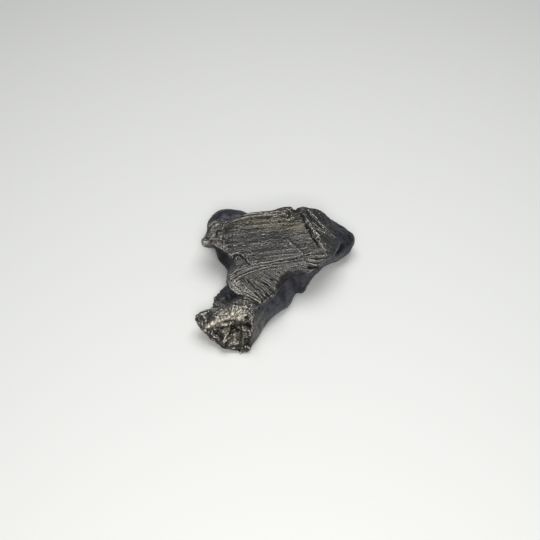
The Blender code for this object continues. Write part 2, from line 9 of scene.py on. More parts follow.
# %% Load the measured solid
import json
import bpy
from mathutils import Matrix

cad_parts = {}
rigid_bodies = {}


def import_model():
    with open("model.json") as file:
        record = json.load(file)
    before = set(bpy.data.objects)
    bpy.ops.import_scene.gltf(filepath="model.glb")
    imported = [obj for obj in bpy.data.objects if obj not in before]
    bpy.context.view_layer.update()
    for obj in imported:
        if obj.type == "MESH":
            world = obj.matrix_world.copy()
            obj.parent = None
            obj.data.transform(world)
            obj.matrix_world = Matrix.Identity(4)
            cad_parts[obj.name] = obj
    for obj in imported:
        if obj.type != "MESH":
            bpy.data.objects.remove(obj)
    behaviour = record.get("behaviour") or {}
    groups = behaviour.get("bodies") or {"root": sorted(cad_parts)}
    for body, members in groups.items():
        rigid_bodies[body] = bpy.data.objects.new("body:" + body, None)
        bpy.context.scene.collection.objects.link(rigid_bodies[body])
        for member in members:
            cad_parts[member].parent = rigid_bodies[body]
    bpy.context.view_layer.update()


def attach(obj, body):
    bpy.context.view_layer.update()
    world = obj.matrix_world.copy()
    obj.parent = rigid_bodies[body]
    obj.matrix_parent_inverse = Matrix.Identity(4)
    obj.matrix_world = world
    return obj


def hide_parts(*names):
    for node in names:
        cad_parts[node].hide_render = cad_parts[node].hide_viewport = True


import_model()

from types import SimpleNamespace

import bpy
import numpy as np
from mathutils import Vector

# %% [markdown]
# ## Working size
# The stone is only 42 mm wide, so all shaping is done in millimetres and scaled to metres at the
# very end. One shift brings the middle of its plan onto the origin, as in the solid.

# %% Units
MM = 0.001
PLAN_SHIFT = np.array([0.0, -0.3, 0.0])

# %% [markdown]
# ## Curves through a few stations
# Torn metal has no straight lines, but its masses can be described by a few sections. A
# Catmull-Rom curve passes through every station that it is given, which makes it easy to place
# a rim exactly. We need it closed, for rings round the stone, and open, for going along a mass.

# %% Closed and open curves
def blend(p0, p1, p2, p3, t):
    """Cubic from p1 to p2 as t goes 0 to 1; its slope at each is half the step between its neighbours."""
    return 0.5 * (2 * p1 + (p2 - p0) * t + (2 * p0 - 5 * p1 + 4 * p2 - p3) * t ** 2
                  + (3 * p1 - p0 - 3 * p2 + p3) * t ** 3)


def closed_curve(stations, u):
    """Points at u, from 0 to 1 once round the stations."""
    rows = np.asarray(stations, float)
    first = np.floor(u * len(rows)).astype(int)
    t = (u * len(rows) - first)[:, None]
    return blend(*(rows[(first + k) % len(rows)] for k in (-1, 0, 1, 2)), t)


def along_sections(sections, v):
    """Whole sections at v, from 0 at the first to 1 at the last, by the same cubic."""
    rows = np.asarray(sections, float)
    last = len(rows) - 1
    first = np.minimum(np.floor(v * last).astype(int), last - 1)
    t = (v * last - first).reshape((-1,) + (1,) * (rows.ndim - 1))
    return blend(*(rows[np.clip(first + k, 0, last)] for k in (-1, 0, 1, 2)), t)


def closed_surface(grid):
    """Points and faces of a grid (levels, round, xyz) that wraps round and is capped at both ends."""
    levels, around = grid.shape[:2]
    points = np.concatenate([grid.reshape(-1, 3), grid[0].mean(0)[None], grid[-1].mean(0)[None]])
    here = np.arange(around)
    after = (here + 1) % around
    row = np.arange(levels - 1)[:, None] * around
    walls = np.stack([row + here, row + after, row + after + around, row + here + around], axis=-1)
    pole = levels * around
    floor_fan = np.column_stack([np.full(around, pole), after, here])
    roof_fan = np.column_stack([np.full(around, pole + 1), pole - around + here, pole - around + after])
    return points, walls.reshape(-1, 4).tolist() + floor_fan.tolist() + roof_fan.tolist()


def smooth(edge0, edge1, value):
    """0 before edge0, 1 after edge1, and 3t^2 - 2t^3 between."""
    t = np.clip((value - edge0) / (edge1 - edge0), 0, 1)
    return t * t * (3 - 2 * t)


print("curve test, halfway round a square:", closed_curve([(0, 0), (1, 0), (1, 1), (0, 1)], np.array([0.5])))

# %% [markdown]
# ## Distance to a path
# Nearly every mark on this stone follows a line: the edge of a layer, a crack, a folded lip.
# The distance in plan to such a line, with a sign for its two sides, and how far along it the
# nearest point lies, are all that is needed to raise, cut or colour a mark.

# %% Distance to a path, and the length along it
def path_distance(path, x, y):
    """Signed distance to a path in plan, positive on its left, and the arc length of the nearest point."""
    best = np.full(np.shape(x), 1e9)
    signed = np.zeros(np.shape(x))
    length = np.zeros(np.shape(x))
    done = 0.0
    for (ax, ay), (bx, by) in zip(path[:-1], path[1:]):
        ux, uy = bx - ax, by - ay
        size = np.hypot(ux, uy)
        t = np.clip(((x - ax) * ux + (y - ay) * uy) / size ** 2, 0, 1)
        dx, dy = x - ax - t * ux, y - ay - t * uy
        gap = np.hypot(dx, dy)
        nearer = gap < best
        best = np.where(nearer, gap, best)
        signed = np.where(nearer, np.where(ux * dy - uy * dx >= 0, gap, -gap), signed)
        length = np.where(nearer, done + t * size, length)
        done += size
    return signed, length


def gap_in_space(path, points):
    """Distance from each point to a path in space, and the arc length of the nearest place on it."""
    rows = np.asarray(path, float)
    best = np.full(len(points), 1e9)
    length = np.zeros(len(points))
    done = 0.0
    for a, b in zip(rows[:-1], rows[1:]):
        size = np.linalg.norm(b - a)
        t = np.clip((points - a) @ (b - a) / size ** 2, 0, 1)
        gap = np.linalg.norm(points - a - t[:, None] * (b - a), axis=1)
        length = np.where(gap < best, done + t * size, length)
        best = np.minimum(best, gap)
        done += size
    return best, length


CREST = [(14.0, -1.0), (11.0, 5.6), (9.9, 7.3), (9.4, 8.8), (8.2, 11.2), (7.2, 12.9), (6.7, 15.0),
         (6.7, 21.0)]
STEP_EDGE = [(-14.5, 2.2), (-12.2, 1.6), (-11.1, 2.3), (-9.8, 1.9), (-8.5, 0.4), (-6.7, -1.3),
             (-3.9, -1.0), (-0.6, -0.2), (3.3, 0.8), (7.2, 1.8), (11.1, 3.0), (16.0, 3.6)]
behind, run = path_distance(STEP_EDGE, np.zeros(1), np.full(1, 2.0))
print("a point behind the step: distance", behind.round(2), "after", run.round(2), "mm of edge")

# %% [markdown]
# ## The sheared plate
# The top of the stone is a thick slab that was sheared off along one plane. Its height is almost
# even, but it has a fold, the crest, and to the right of that a facet falls away. We write the
# height as a function of the place in plan, and then carry one profile of the slab's edge
# round the torn outline.

# %% Height of the sheared top
PLATE_HEIGHT = 10.9
CREST_HEIGHT = 11.9
STEP_DROP = 0.75


def top_height(x, y):
    """A gently tilted plateau; right of the crest, crest height less a part that grows with the square."""
    plateau = PLATE_HEIGHT + 0.025 * (y - 2) + 0.02 * np.clip(x, -9, 8) - 0.14 * np.clip(-11 - x, 0, 9)
    beyond, _ = path_distance(CREST, x, y)
    right = np.clip(-beyond, 0, None)
    facet = CREST_HEIGHT - 0.30 * right - 0.016 * right ** 2 - 0.12 * np.clip(10 - y, 0, 12)
    rise = np.exp(-(np.clip(beyond, 0, None) / 2.5) ** 2) * (CREST_HEIGHT - PLATE_HEIGHT - 0.5)
    plateau = plateau + rise * smooth(6, 14, y) - 0.03 * np.clip(-2 - y, 0, 12)
    return np.where(beyond > 0, plateau, np.minimum(facet, plateau + 0.5))


print("top at the middle and at the crest:", top_height(np.array([0.0, 8.0]), np.array([3.0, 11.4])).round(2))

# %% The plate as a surface of turn and level
# Each row: x, y, and how far the underside is set back there.
PLATE_RIM = [
    (15.6, 4.4, 2.0), (16.6, 7.8, 1.0), (16.2, 11.8, 0.6), (14.5, 16.7, 0.6),
    (11.6, 18.9, 0.8), (9.2, 18.8, 0.8), (6.9, 18.6, 0.8), (5.7, 18.2, 0.8),
    (4.9, 17.6, 0.8), (4.1, 18.5, 0.8), (2.4, 19.0, 0.8), (0.8, 18.7, 0.8),
    (-1.4, 17.8, 0.8), (-4.0, 17.5, 0.8), (-6.6, 17.2, 0.8), (-8.8, 16.4, 0.6),
    (-11.1, 15.0, 0.4), (-13.4, 14.0, 0.2), (-16.0, 14.9, 0.2), (-18.3, 13.6, 0.6),
    (-18.5, 11.3, 1.2), (-19.5, 9.2, 1.8), (-20.0, 8.2, 2.0), (-19.7, 7.1, 2.2),
    (-18.0, 6.7, 3.0), (-16.6, 6.1, 3.2), (-15.1, 4.7, 2.6), (-13.2, 2.9, 1.8),
    (-11.7, 1.3, 1.6), (-11.2, -1.0, 1.4), (-12.3, -3.0, 1.8), (-12.8, -4.8, 2.2),
    (-12.1, -7.7, 2.6), (-10.6, -9.6, 2.4), (-8.0, -10.6, 1.6), (-5.8, -11.9, 1.0),
    (-3.8, -13.2, 1.0), (-2.3, -11.9, 0.8), (-0.8, -10.7, 0.8), (0.1, -8.9, 0.8),
    (1.0, -6.9, 0.6), (1.6, -5.0, 0.5), (3.3, -3.6, 0.6), (6.4, -3.3, 1.4),
    (8.6, -3.3, 2.6), (10.9, -1.7, 3.3), (12.6, 0.3, 3.5), (14.3, 2.2, 3.2),
]
PLATE_CENTRE = np.array([-1.0, 3.0])
# The edge's profile, from below up: how far in from the rim, how much of the set-back, how far down.
EDGE_PROFILE = np.array([(0.6, 1.0, 3.0), (0.1, 0.35, 1.8), (0.0, 0.0, 1.0), (0.05, 0.0, 0.3),
                         (0.4, 0.0, 0.03)])
INWARD = np.arange(1.0, 16.0, 0.6)


def plate_surface(around=720):
    """Ring v runs round the rim u, drawn in by the profile, at the top's height less its depth."""
    rim = closed_curve(PLATE_RIM, np.arange(around) / around)
    arm = rim[:, :2] - PLATE_CENTRE
    reach = np.hypot(arm[:, 0], arm[:, 1])
    inset = np.concatenate([[3.0], EDGE_PROFILE[:, 0], INWARD])[:, None]
    share = np.concatenate([[1.0], EDGE_PROFILE[:, 1], INWARD * 0])[:, None]
    drop = np.concatenate([[0.0], EDGE_PROFILE[:, 2], INWARD * 0])[:, None]
    scale = np.clip(1 - (inset + share * rim[:, 2]) / reach, 0.02, None)
    plan = PLATE_CENTRE + arm * scale[..., None]
    height = top_height(plan[..., 0], plan[..., 1]) - drop
    height[0] = 4.5
    return closed_surface(np.concatenate([plan, height[..., None]], axis=-1))


plate = plate_surface()
print("plate:", len(plate[0]), "points")

# %% [markdown]
# ## The rounded body below
# Under the plate the iron is smooth and swollen. At every turn round the stone we give its widest
# reach, the height of that belt and the reach at the foot, and draw the wall through them.

# %% The body as a surface of turn and height
# Each row: turn in degrees, widest reach, height of the belt, reach at the foot.
BODY = np.array([
    (3, 13.1, 4.0, 9.0), (10, 15.4, 4.0, 10.0), (14, 19.2, 4.0, 12.0), (17, 21.9, 4.2, 14.0),
    (21, 23.4, 4.4, 15.0), (25, 24.2, 4.8, 15.0), (31, 23.8, 5.4, 14.0), (40, 22.6, 6.2, 13.5),
    (49, 21.6, 6.8, 13.0), (58, 18.6, 7.0, 12.5), (70, 16.8, 7.0, 12.0), (90, 15.2, 6.5, 11.5),
    (103, 14.9, 6.0, 12.0), (111, 18.2, 6.6, 12.5), (118, 21.0, 6.4, 13.0), (124, 22.6, 6.0, 13.5),
    (130, 23.0, 5.6, 13.5), (137, 22.2, 5.4, 13.5), (144, 20.8, 5.2, 13.0), (152, 18.6, 5.0, 12.5),
    (160, 16.4, 4.0, 12.0), (167, 14.6, 3.2, 11.0), (173, 12.8, 3.0, 10.0), (181, 12.1, 3.0, 9.8),
    (190, 12.6, 3.0, 10.0), (198, 13.1, 3.0, 10.3), (208, 13.2, 3.6, 10.5), (222, 14.0, 4.2, 12.0),
    (240, 15.0, 4.6, 13.0), (256, 15.6, 3.6, 14.4), (268, 13.8, 3.2, 12.8), (281, 12.2, 3.0, 11.4),
    (290, 11.4, 3.0, 10.4), (299, 10.3, 3.0, 9.2), (308, 9.2, 3.0, 8.0), (318, 8.8, 2.4, 7.6),
    (330, 9.3, 1.8, 8.2), (350, 10.4, 2.6, 8.4),
])
# The wall's profile, from below up: share of the foot's reach, share of the widest reach, share of the
# belt's height, extra height.
WALL_PROFILE = np.array([
    (0.6, 0.0, 0.0, 0.9), (0.9, 0.0, 0.0, 0.3), (1.0, 0.0, 0.0, 0.6),
    (0.35, 0.65, 0.36, 0.0), (0.0, 0.985, 0.75, 0.0), (0.0, 1.0, 1.0, 0.0),
    (0.0, 0.96, 0.6, 3.4), (0.0, 0.8, 0.0, 9.0), (0.0, 0.4, 0.0, 9.3),
])


def body_surface(around=480):
    """At turn u and level v: reach = a(v) foot + b(v) widest, height = c(v) belt + d(v)."""
    turn = np.radians(BODY[:, 0])
    stations = np.column_stack([np.cos(turn), np.sin(turn), BODY[:, 1:]])
    rows = closed_curve(stations, np.arange(around) / around)
    towards = rows[:, :2] / np.hypot(rows[:, 0], rows[:, 1])[:, None]
    widest, belt, foot = rows[:, 2], rows[:, 3], rows[:, 4]
    a, b, c, d = (column[:, None] for column in WALL_PROFILE.T)
    reach = a * foot + b * widest
    height = c * belt + d
    plan = PLATE_CENTRE + towards * reach[..., None]
    return closed_surface(np.concatenate([plan, height[..., None]], axis=-1))


body = body_surface()
print("body:", len(body[0]), "points")

# %% [markdown]
# ## The torn leg
# In front the metal was pulled out into a stubby leg and broke off. Seven upright sections, each
# of eight points, run from inside the body to the break. The curve joins the points of one
# section, and the same curve joins the sections.

# %% The leg as a surface of length and turn
# Each section: left foot, left shoulder, left of the top, top, right of the top, right flank, right foot,
# underside.
LEG = np.array([
    [(-9.0, 2.0, 0.8), (-11.0, 1.0, 3.4), (-10.0, -0.5, 7.8), (-5.0, -3.5, 9.0),
     (0.0, -6.0, 8.4), (2.8, -6.8, 4.6), (2.4, -6.2, 1.0), (-4.0, -3.0, 0.6)],
    [(-11.5, -2.5, 0.8), (-13.8, -3.2, 3.4), (-12.0, -5.0, 6.0), (-7.5, -8.4, 8.8),
     (-2.6, -10.2, 8.8), (1.4, -9.4, 4.0), (0.9, -8.3, 0.8), (-5.0, -6.0, 0.5)],
    [(-13.0, -6.4, 0.8), (-15.9, -6.3, 4.2), (-13.6, -8.2, 5.2), (-9.4, -11.0, 8.6),
     (-4.6, -12.6, 9.0), (-1.4, -12.2, 4.2), (-1.9, -10.9, 0.6), (-7.5, -9.0, 0.4)],
    [(-14.6, -9.8, 1.0), (-16.5, -9.2, 4.8), (-15.2, -11.4, 6.4), (-10.6, -13.0, 8.9),
     (-5.8, -13.8, 9.2), (-3.6, -14.6, 4.6), (-3.9, -13.9, 0.3), (-9.5, -12.2, 0.3)],
    [(-16.6, -13.0, 1.6), (-18.8, -12.0, 5.6), (-16.9, -13.8, 6.9), (-11.8, -14.8, 8.9),
     (-6.4, -14.4, 9.3), (-4.9, -16.4, 4.8), (-5.1, -16.3, 0.2), (-11.0, -15.6, 0.2)],
    [(-17.8, -15.4, 2.2), (-20.6, -13.6, 5.5), (-17.9, -16.0, 6.6), (-12.2, -15.9, 8.9),
     (-6.2, -15.6, 9.1), (-5.7, -18.0, 4.8), (-6.2, -18.8, 0.2), (-12.0, -18.4, 0.4)],
    [(-17.9, -17.8, 2.8), (-21.2, -14.8, 5.0), (-18.2, -17.6, 6.0), (-12.4, -16.9, 8.4),
     (-6.6, -17.0, 8.6), (-6.3, -19.6, 5.0), (-7.3, -21.7, 0.3), (-12.8, -21.0, 1.2)],
])
TORN_CENTRE = np.array([-12.4, -19.6, 4.6])


def leg_surface(along=61, around=128):
    """Section v, then the closed curve through its eight points at u; the last ring is drawn in to 0.55."""
    sections = along_sections(LEG, np.linspace(0, 1, along))
    rings = [closed_curve(section, np.arange(around) / around) for section in sections]
    rings.append(TORN_CENTRE + (rings[-1] - TORN_CENTRE) * 0.55)
    return closed_surface(np.array(rings))


leg = leg_surface()
print("leg:", len(leg[0]), "points")

# %% [markdown]
# ## Rounded knobs
# Where the iron melted it drew itself into knobs: the lump behind on the left, the tip on the
# right, and three low feet that touch the table. Each is a stretched and turned ball.

# %% Knobs as stretched balls
# Each row: middle, three radii, turn in degrees.
KNOBS = [
    ((-13.6, 17.0, 5.0), (5.6, 5.2, 4.1), 20), ((-15.6, 14.8, 5.2), (3.4, 4.8, 3.6), 0),
    ((-9.4, 17.2, 5.4), (4.2, 3.4, 3.2), -15), ((-11.6, 18.4, 3.6), (4.6, 3.2, 2.6), 15),
    ((14.6, 11.0, 4.8), (4.0, 5.6, 3.8), -20), ((18.1, 12.2, 4.6), (3.2, 3.4, 2.5), -30),
    ((-13.8, 8.8, 3.4), (2.2, 3.4, 3.0), 20), ((6.3, -2.0, 1.5), (1.2, 0.9, 0.9), 30),
]
FEET = [(-9.4, -17.4, 2.6), (8.8, 6.4, 2.6), (-10.4, 12.0, 2.8)]
for foot_x, foot_y, foot_radius in FEET:
    KNOBS.append(((foot_x, foot_y, 1.9), (foot_radius * 1.35, foot_radius * 1.35, 2.6), 0))


def knob_surface(middle, radii, turn, around=72, levels=35):
    """Middle + turned (a cos u sin v, b sin u sin v, -c cos v), with u round and v from the bottom up."""
    u = np.arange(around) * 2 * np.pi / around
    v = np.linspace(0, np.pi, levels + 2)[1:-1, None]
    px = radii[0] * np.cos(u) * np.sin(v)
    py = radii[1] * np.sin(u) * np.sin(v)
    pz = -radii[2] * np.cos(v) + 0 * u
    c, s = np.cos(np.radians(turn)), np.sin(np.radians(turn))
    return closed_surface(np.stack([px * c - py * s, px * s + py * c, pz], axis=-1) + np.array(middle))


knobs = [knob_surface(*row) for row in KNOBS]
print("knobs:", len(knobs))

# %% [markdown]
# ## One skin
# The masses overlap. Blender's voxel remesh fills them with a fine grid and draws one new skin
# round the lot, which is how a lump of clay would join. Closed pockets left inside the iron are
# found by numbering connected points, and dropped.

# %% Fusing tools
def make_mesh(points, faces):
    """A mesh of the given points and faces."""
    mesh = bpy.data.meshes.new("iron_stone")
    mesh.from_pydata(np.asarray(points).tolist(), [], faces)
    return mesh


def read_points(mesh):
    """Places and normals of a mesh's points, as rows."""
    places = np.empty(len(mesh.vertices) * 3, np.float32)
    normals = np.empty(len(mesh.vertices) * 3, np.float32)
    mesh.vertices.foreach_get("co", places)
    mesh.vertex_normals.foreach_get("vector", normals)
    return places.reshape(-1, 3).astype(float), normals.reshape(-1, 3).astype(float)


def read_edges(mesh):
    """The two ends of every edge, as rows of point numbers."""
    ends = np.empty(len(mesh.edges) * 2, np.int32)
    mesh.edges.foreach_get("vertices", ends)
    return ends.reshape(-1, 2)


def write_points(mesh, places):
    """Put new places into a mesh."""
    mesh.vertices.foreach_set("co", np.asarray(places, np.float32).ravel())
    mesh.update()


def finish_modifiers(thing):
    """The object's mesh becomes what its modifiers make of it."""
    graph = bpy.context.evaluated_depsgraph_get()
    result = bpy.data.meshes.new_from_object(thing.evaluated_get(graph))
    old = thing.data
    thing.modifiers.clear()
    thing.data = result
    bpy.data.meshes.remove(old)


def remesh(thing, grain):
    """One new skin round everything in the object, on a grid of the given grain."""
    step = thing.modifiers.new("one_skin", "REMESH")
    step.mode = "VOXEL"
    step.voxel_size = grain
    finish_modifiers(thing)


def keep_outer_skin(thing):
    """Give each point the smallest number that it is joined to, and keep the skin with most points."""
    mesh = thing.data
    a, b = read_edges(mesh).T
    label = np.arange(len(mesh.vertices))
    while True:
        low = np.minimum(label[a], label[b])
        fresh = label.copy()
        np.minimum.at(fresh, label[a], low)
        np.minimum.at(fresh, label[b], low)
        fresh = fresh[fresh]
        if np.array_equal(fresh, label):
            break
        label = fresh
    names, sizes = np.unique(label, return_counts=True)
    kept = label == names[sizes.argmax()]
    corners = np.empty(len(mesh.loops), np.int32)
    mesh.loops.foreach_get("vertex_index", corners)
    faces = corners.reshape(-1, 4)
    new_number = np.cumsum(kept) - 1
    places, _ = read_points(mesh)
    thing.data = make_mesh(places[kept], new_number[faces[kept[faces[:, 0]]]].tolist())
    bpy.data.meshes.remove(mesh)
    return len(names) - 1


def settle(places, ends, rounds):
    """Again and again, each point moves halfway to the mean of the points that it is joined to."""
    a, b = ends.T
    count = np.bincount(ends.ravel(), minlength=len(places))
    for _ in range(rounds):
        total = np.column_stack([np.bincount(a, places[b, k], len(places))
                                 + np.bincount(b, places[a, k], len(places)) for k in range(3)])
        places = 0.5 * places + 0.5 * total / count[:, None]
    return places


# %% Fuse the masses
masses = [plate, body, leg] + knobs
all_points = []
all_faces = []
counted = 0
for places, faces in masses:
    all_points.append(places)
    all_faces += [[corner + counted for corner in face] for face in faces]
    counted += len(places)
stone = bpy.data.objects.new("iron_stone", make_mesh(np.concatenate(all_points), all_faces))
bpy.context.scene.collection.objects.link(stone)
COARSE_GRAIN = 0.30
remesh(stone, COARSE_GRAIN)
dropped = keep_outer_skin(stone)
print("fused skin:", len(stone.data.vertices), "points;", dropped, "closed pockets dropped")

# %% [markdown]
# ## Noise from a lattice
# Iron breaks unevenly, at several sizes at once. Value noise gives that: every corner of a
# lattice gets a number from a hash of its place, and the space between is blended. The same
# place always gets the same number, so the stone comes out the same on every run.

# %% Lattice noise
def noise(points, size, seed):
    """Sum over the 8 corners of the cell: the corner's hashed number times its smooth share."""
    scaled = points / size
    cell = np.floor(scaled).astype(np.int64)
    t = scaled - cell
    t = t * t * (3 - 2 * t)
    total = np.zeros(len(points))
    for corner in range(8):
        step = np.array([corner & 1, corner >> 1 & 1, corner >> 2 & 1])
        i, j, k = (cell + step).T
        code = (i * 374761393 + j * 668265263 + k * 974634777 + seed * 1274126177) & 0xFFFFFFFF
        code = ((code ^ code >> 13) * 1274126177) & 0xFFFFFFFF
        value = ((code ^ code >> 16) & 0xFFFF) / 32767.5 - 1
        total += value * np.prod(np.where(step, t, 1 - t), axis=1)
    return total


def sharp_ridges(points, size, seed):
    """1 on the thin lines where the noise crosses zero, falling to 0 away from them."""
    return 1 - np.clip(np.abs(noise(points, size, seed)) * 2.2, 0, 1)


def flat(*columns):
    """Three columns side by side, missing ones filled with zero, for noise that depends on fewer things."""
    filled = list(columns) + [np.zeros(len(columns[0]))] * (3 - len(columns))
    return np.column_stack(filled)


def bump_at(points, centre, radii):
    """1 at the centre, falling smoothly to 0 at the radii."""
    gap = np.linalg.norm((points - np.array(centre)) / np.array(radii), axis=1)
    return 1 - smooth(0.0, 1.0, gap)


trial = np.array([[0.2, 0.1, 0.0], [3.0, 1.0, 2.0], [7.5, 0.5, 0.5]])
print("noise at three places:", noise(trial, 1.0, 1).round(3))

# %% [markdown]
# ## The main relief
# First come the forms that are a millimetre or so deep, the same as in the solid: the step in the
# plate, the lip and crack of the crest, the hollow in the break, thumbprints along the back.
# A vertex on the plate moves straight up or down, and one on a wall moves along its normal.
# At the front right the rim melted and sags, top and wall together: if only the points that
# face up went down, the edge would end in a row of teeth.

# %% Hollows, ridges and ledges
TOP_FOLD = [(0.0, 15.2), (1.1, 14.3), (2.1, 13.7), (3.4, 13.6), (4.2, 14.3), (4.3, 16.2), (3.9, 18.6)]
RIM_FOLD = [(11.6, 0.9), (9.2, 0.7), (7.0, -0.2), (6.4, -1.4)]
LOWER_FOLD = [(-1.2, -9.6), (-3.6, -11.6), (-5.6, -10.4), (-8.2, -9.4)]
# Each row: middle, radii, depth.
HOLLOWS = [
    ((-10.4, -19.6, 4.8), (2.6, 2.6, 3.0), 1.6), ((-15.2, -19.4, 3.6), (2.6, 2.4, 1.6), 0.8),
    ((-9.4, -11.6, 8.6), (1.6, 1.4, 1.6), 0.5), ((-13.4, -9.0, 6.6), (3.0, 2.4, 2.4), 0.9),
    ((8.4, -1.6, 6.0), (2.4, 2.0, 2.0), 1.3), ((16.6, 8.6, 5.4), (1.3, 2.2, 2.2), 0.9),
    ((10.0, 8.0, 11.0), (0.9, 0.9, 1.2), 0.5), ((0.4, 17.4, 5.6), (4.6, 2.6, 3.2), 1.0),
    ((-6.2, 17.6, 6.4), (2.2, 2.4, 3.4), 1.0), ((8.4, 18.6, 5.4), (3.0, 3.0, 2.8), 0.7),
    ((15.4, 17.8, 4.6), (3.8, 3.0, 2.6), 0.9), ((-18.4, 17.4, 4.4), (2.6, 3.0, 2.2), 0.7),
    ((-14.4, 21.6, 4.2), (2.8, 2.2, 2.0), 0.6), ((0.0, 1.6, 0.6), (7.0, 6.0, 2.4), 1.1),
    ((-7.6, -7.6, 0.4), (4.4, 4.0, 2.4), 0.7), ((-1.6, 11.6, 0.6), (5.4, 4.0, 2.2), 0.7),
    ((15.6, 12.4, 1.6), (4.0, 4.0, 2.0), 0.5), ((1.6, -8.4, 5.2), (2.0, 2.0, 2.6), 0.4),
    ((-3.0, -13.6, 3.4), (2.0, 2.0, 2.0), 0.3),
]
# Below the lobe the wall is set back, so that the lobe overhangs.
UNDERCUT = ((-17.4, 5.2, 6.2), (3.6, 3.4, 3.0))
UNDERCUT_SHIFT = (1.6, 1.9, 0.0)
# Each row: path in space, depth, width.
GROOVES = [([(15.8, 7.1, 6.3), (16.6, 7.8, 6.4), (17.6, 8.7, 6.7)], 1.6, 0.75),
           ([(-18.6, 10.8, 8.8), (-17.9, 12.8, 8.6), (-16.9, 13.9, 9.0)], 0.5, 0.5)]
# Each row: middle, radii, height.
SPURS = [((-13.2, -20.6, 3.4), (1.0, 2.4, 2.6), 0.8), ((-7.4, -19.6, 6.2), (0.9, 1.4, 2.6), 0.6),
         ((-12.0, -16.2, 9.0), (4.0, 1.0, 1.6), 0.5), ((-15.8, 5.4, 4.6), (1.8, 2.4, 2.6), 0.7)]


def ledge(gap, height, spread, groove, groove_width):
    """height e^(-gap/spread) on the far side of the line, less groove e^(-(gap/width)^2) on the near side."""
    lip = height * np.exp(-np.clip(gap, 0, None) / spread) * smooth(-0.35, 0.25, gap)
    return lip - groove * np.exp(-(np.clip(gap + 0.1, None, 0) / groove_width) ** 2) * (gap < 0.1)


ROUNDED_EDGE = [(-0.9, -9.6), (0.3, -8.4), (1.0, -6.9), (1.6, -5.0), (3.3, -3.6), (6.0, -3.2), (7.6, -3.0)]


def rounded_edge(x, y, inside=1.8):
    """1 at the melted part of the rim, front right, where the plate rolls into the wall; 0 further in."""
    gap, length = path_distance(ROUNDED_EDGE, x, y)
    return smooth(inside, 0.1, np.abs(gap)) * smooth(0.2, 3.4, length) * smooth(13.4, 9.0, length)


def on_top_of(points, normals):
    """1 where the surface faces up and lies near the plate's own height."""
    height = points[:, 2] - top_height(points[:, 0], points[:, 1])
    return smooth(0.35, 0.75, normals[:, 2]) * smooth(-1.6, -0.7, height)


def outward_relief(points, walls):
    """Along the normal: slow noise, roughest on the torn leg, then hollows, spurs and grooves."""
    x, y, z = points.T
    torn = smooth(-13.2, -15.0, y + 0.12 * (x + 9)) * smooth(-5.2, -6.6, x)
    spongy = smooth(-9.4, -11.4, y + 0.2 * (x + 9)) * smooth(-3.0, -6.0, x) * smooth(2.0, 5.0, z)
    lobe = smooth(-10.5, -14.5, x) * smooth(-1.0, 2.0, y)
    crumbling = 0.45 * noise(points, 2.2, 3) + (0.40 - 0.18 * torn) * np.abs(noise(points, 1.3, 4)) - 0.22
    out = (0.16 + 0.22 * walls) * noise(points, 5.5, 1) + 0.16 * noise(points, 2.4, 2) * walls
    out += np.maximum(torn, spongy) * crumbling
    out += lobe * 0.07 * noise(points, 1.5, 5)
    for centre, radii, depth in HOLLOWS:
        out -= depth * bump_at(points, centre, radii)
    for centre, radii, height in SPURS:
        out += height * bump_at(points, centre, radii)
    for path, depth, width in GROOVES:
        gap, _ = gap_in_space(path, points)
        out -= depth * np.exp(-(gap / width) ** 2)
    return out


def upward_relief(x, y):
    """Straight up on the plate: the step, the ledge of the crest, three folds, and the rounded edge."""
    step, _ = path_distance(STEP_EDGE, x, y)
    up = -STEP_DROP * (0.45 * smooth(0.15, -0.20, step) + 0.55 * smooth(0.5, -4.5, step))
    crack, _ = path_distance(CREST[:-1], x, y)
    up += ledge(-crack, 0.22, 0.8, 0.15, 0.4) * smooth(17.0, 14.0, y) * smooth(3.5, 5.5, y)
    for fold in (TOP_FOLD, RIM_FOLD, LOWER_FOLD):
        gap, _ = path_distance(fold, x, y)
        up += ledge(gap, 0.22, 0.6, 0.12, 0.3) * smooth(1.8, 0.8, np.abs(gap))
    return up - 0.7 * rounded_edge(x, y) ** 2


def main_relief(points, normals):
    """Walls move out and the plate moves up; the wall under the rounded edge sags with it."""
    x, y, z = points.T
    top = on_top_of(points, normals)
    sagging = smooth(0.0, 0.5, rounded_edge(x, y, 2.2)) * smooth(-3.2, -0.2, z - top_height(x, y))
    moved = points + normals * outward_relief(points, 1 - top)[:, None]
    moved[:, 2] += np.maximum(top, sagging) * upward_relief(x, y)
    moved += np.array(UNDERCUT_SHIFT) * bump_at(points, *UNDERCUT)[:, None]
    return moved


places, normals = read_points(stone.data)
write_points(stone.data, settle(main_relief(places, normals), read_edges(stone.data), 2))
FINE_GRAIN = 0.145
remesh(stone, FINE_GRAIN)
print("fine skin:", len(stone.data.vertices), "points")

# %% [markdown]
# ## Which part of the stone is which
# The fine marks differ from place to place, so we name the zones once, as soft masks from 0 to 1,
# and use them for the relief now and for the colours later. A zone could be picked by hand, but
# the mesh is made anew on every run, so it is measured instead: how far does each point lie from
# the few lines that part the zones? All of it goes round in one bundle, called at.

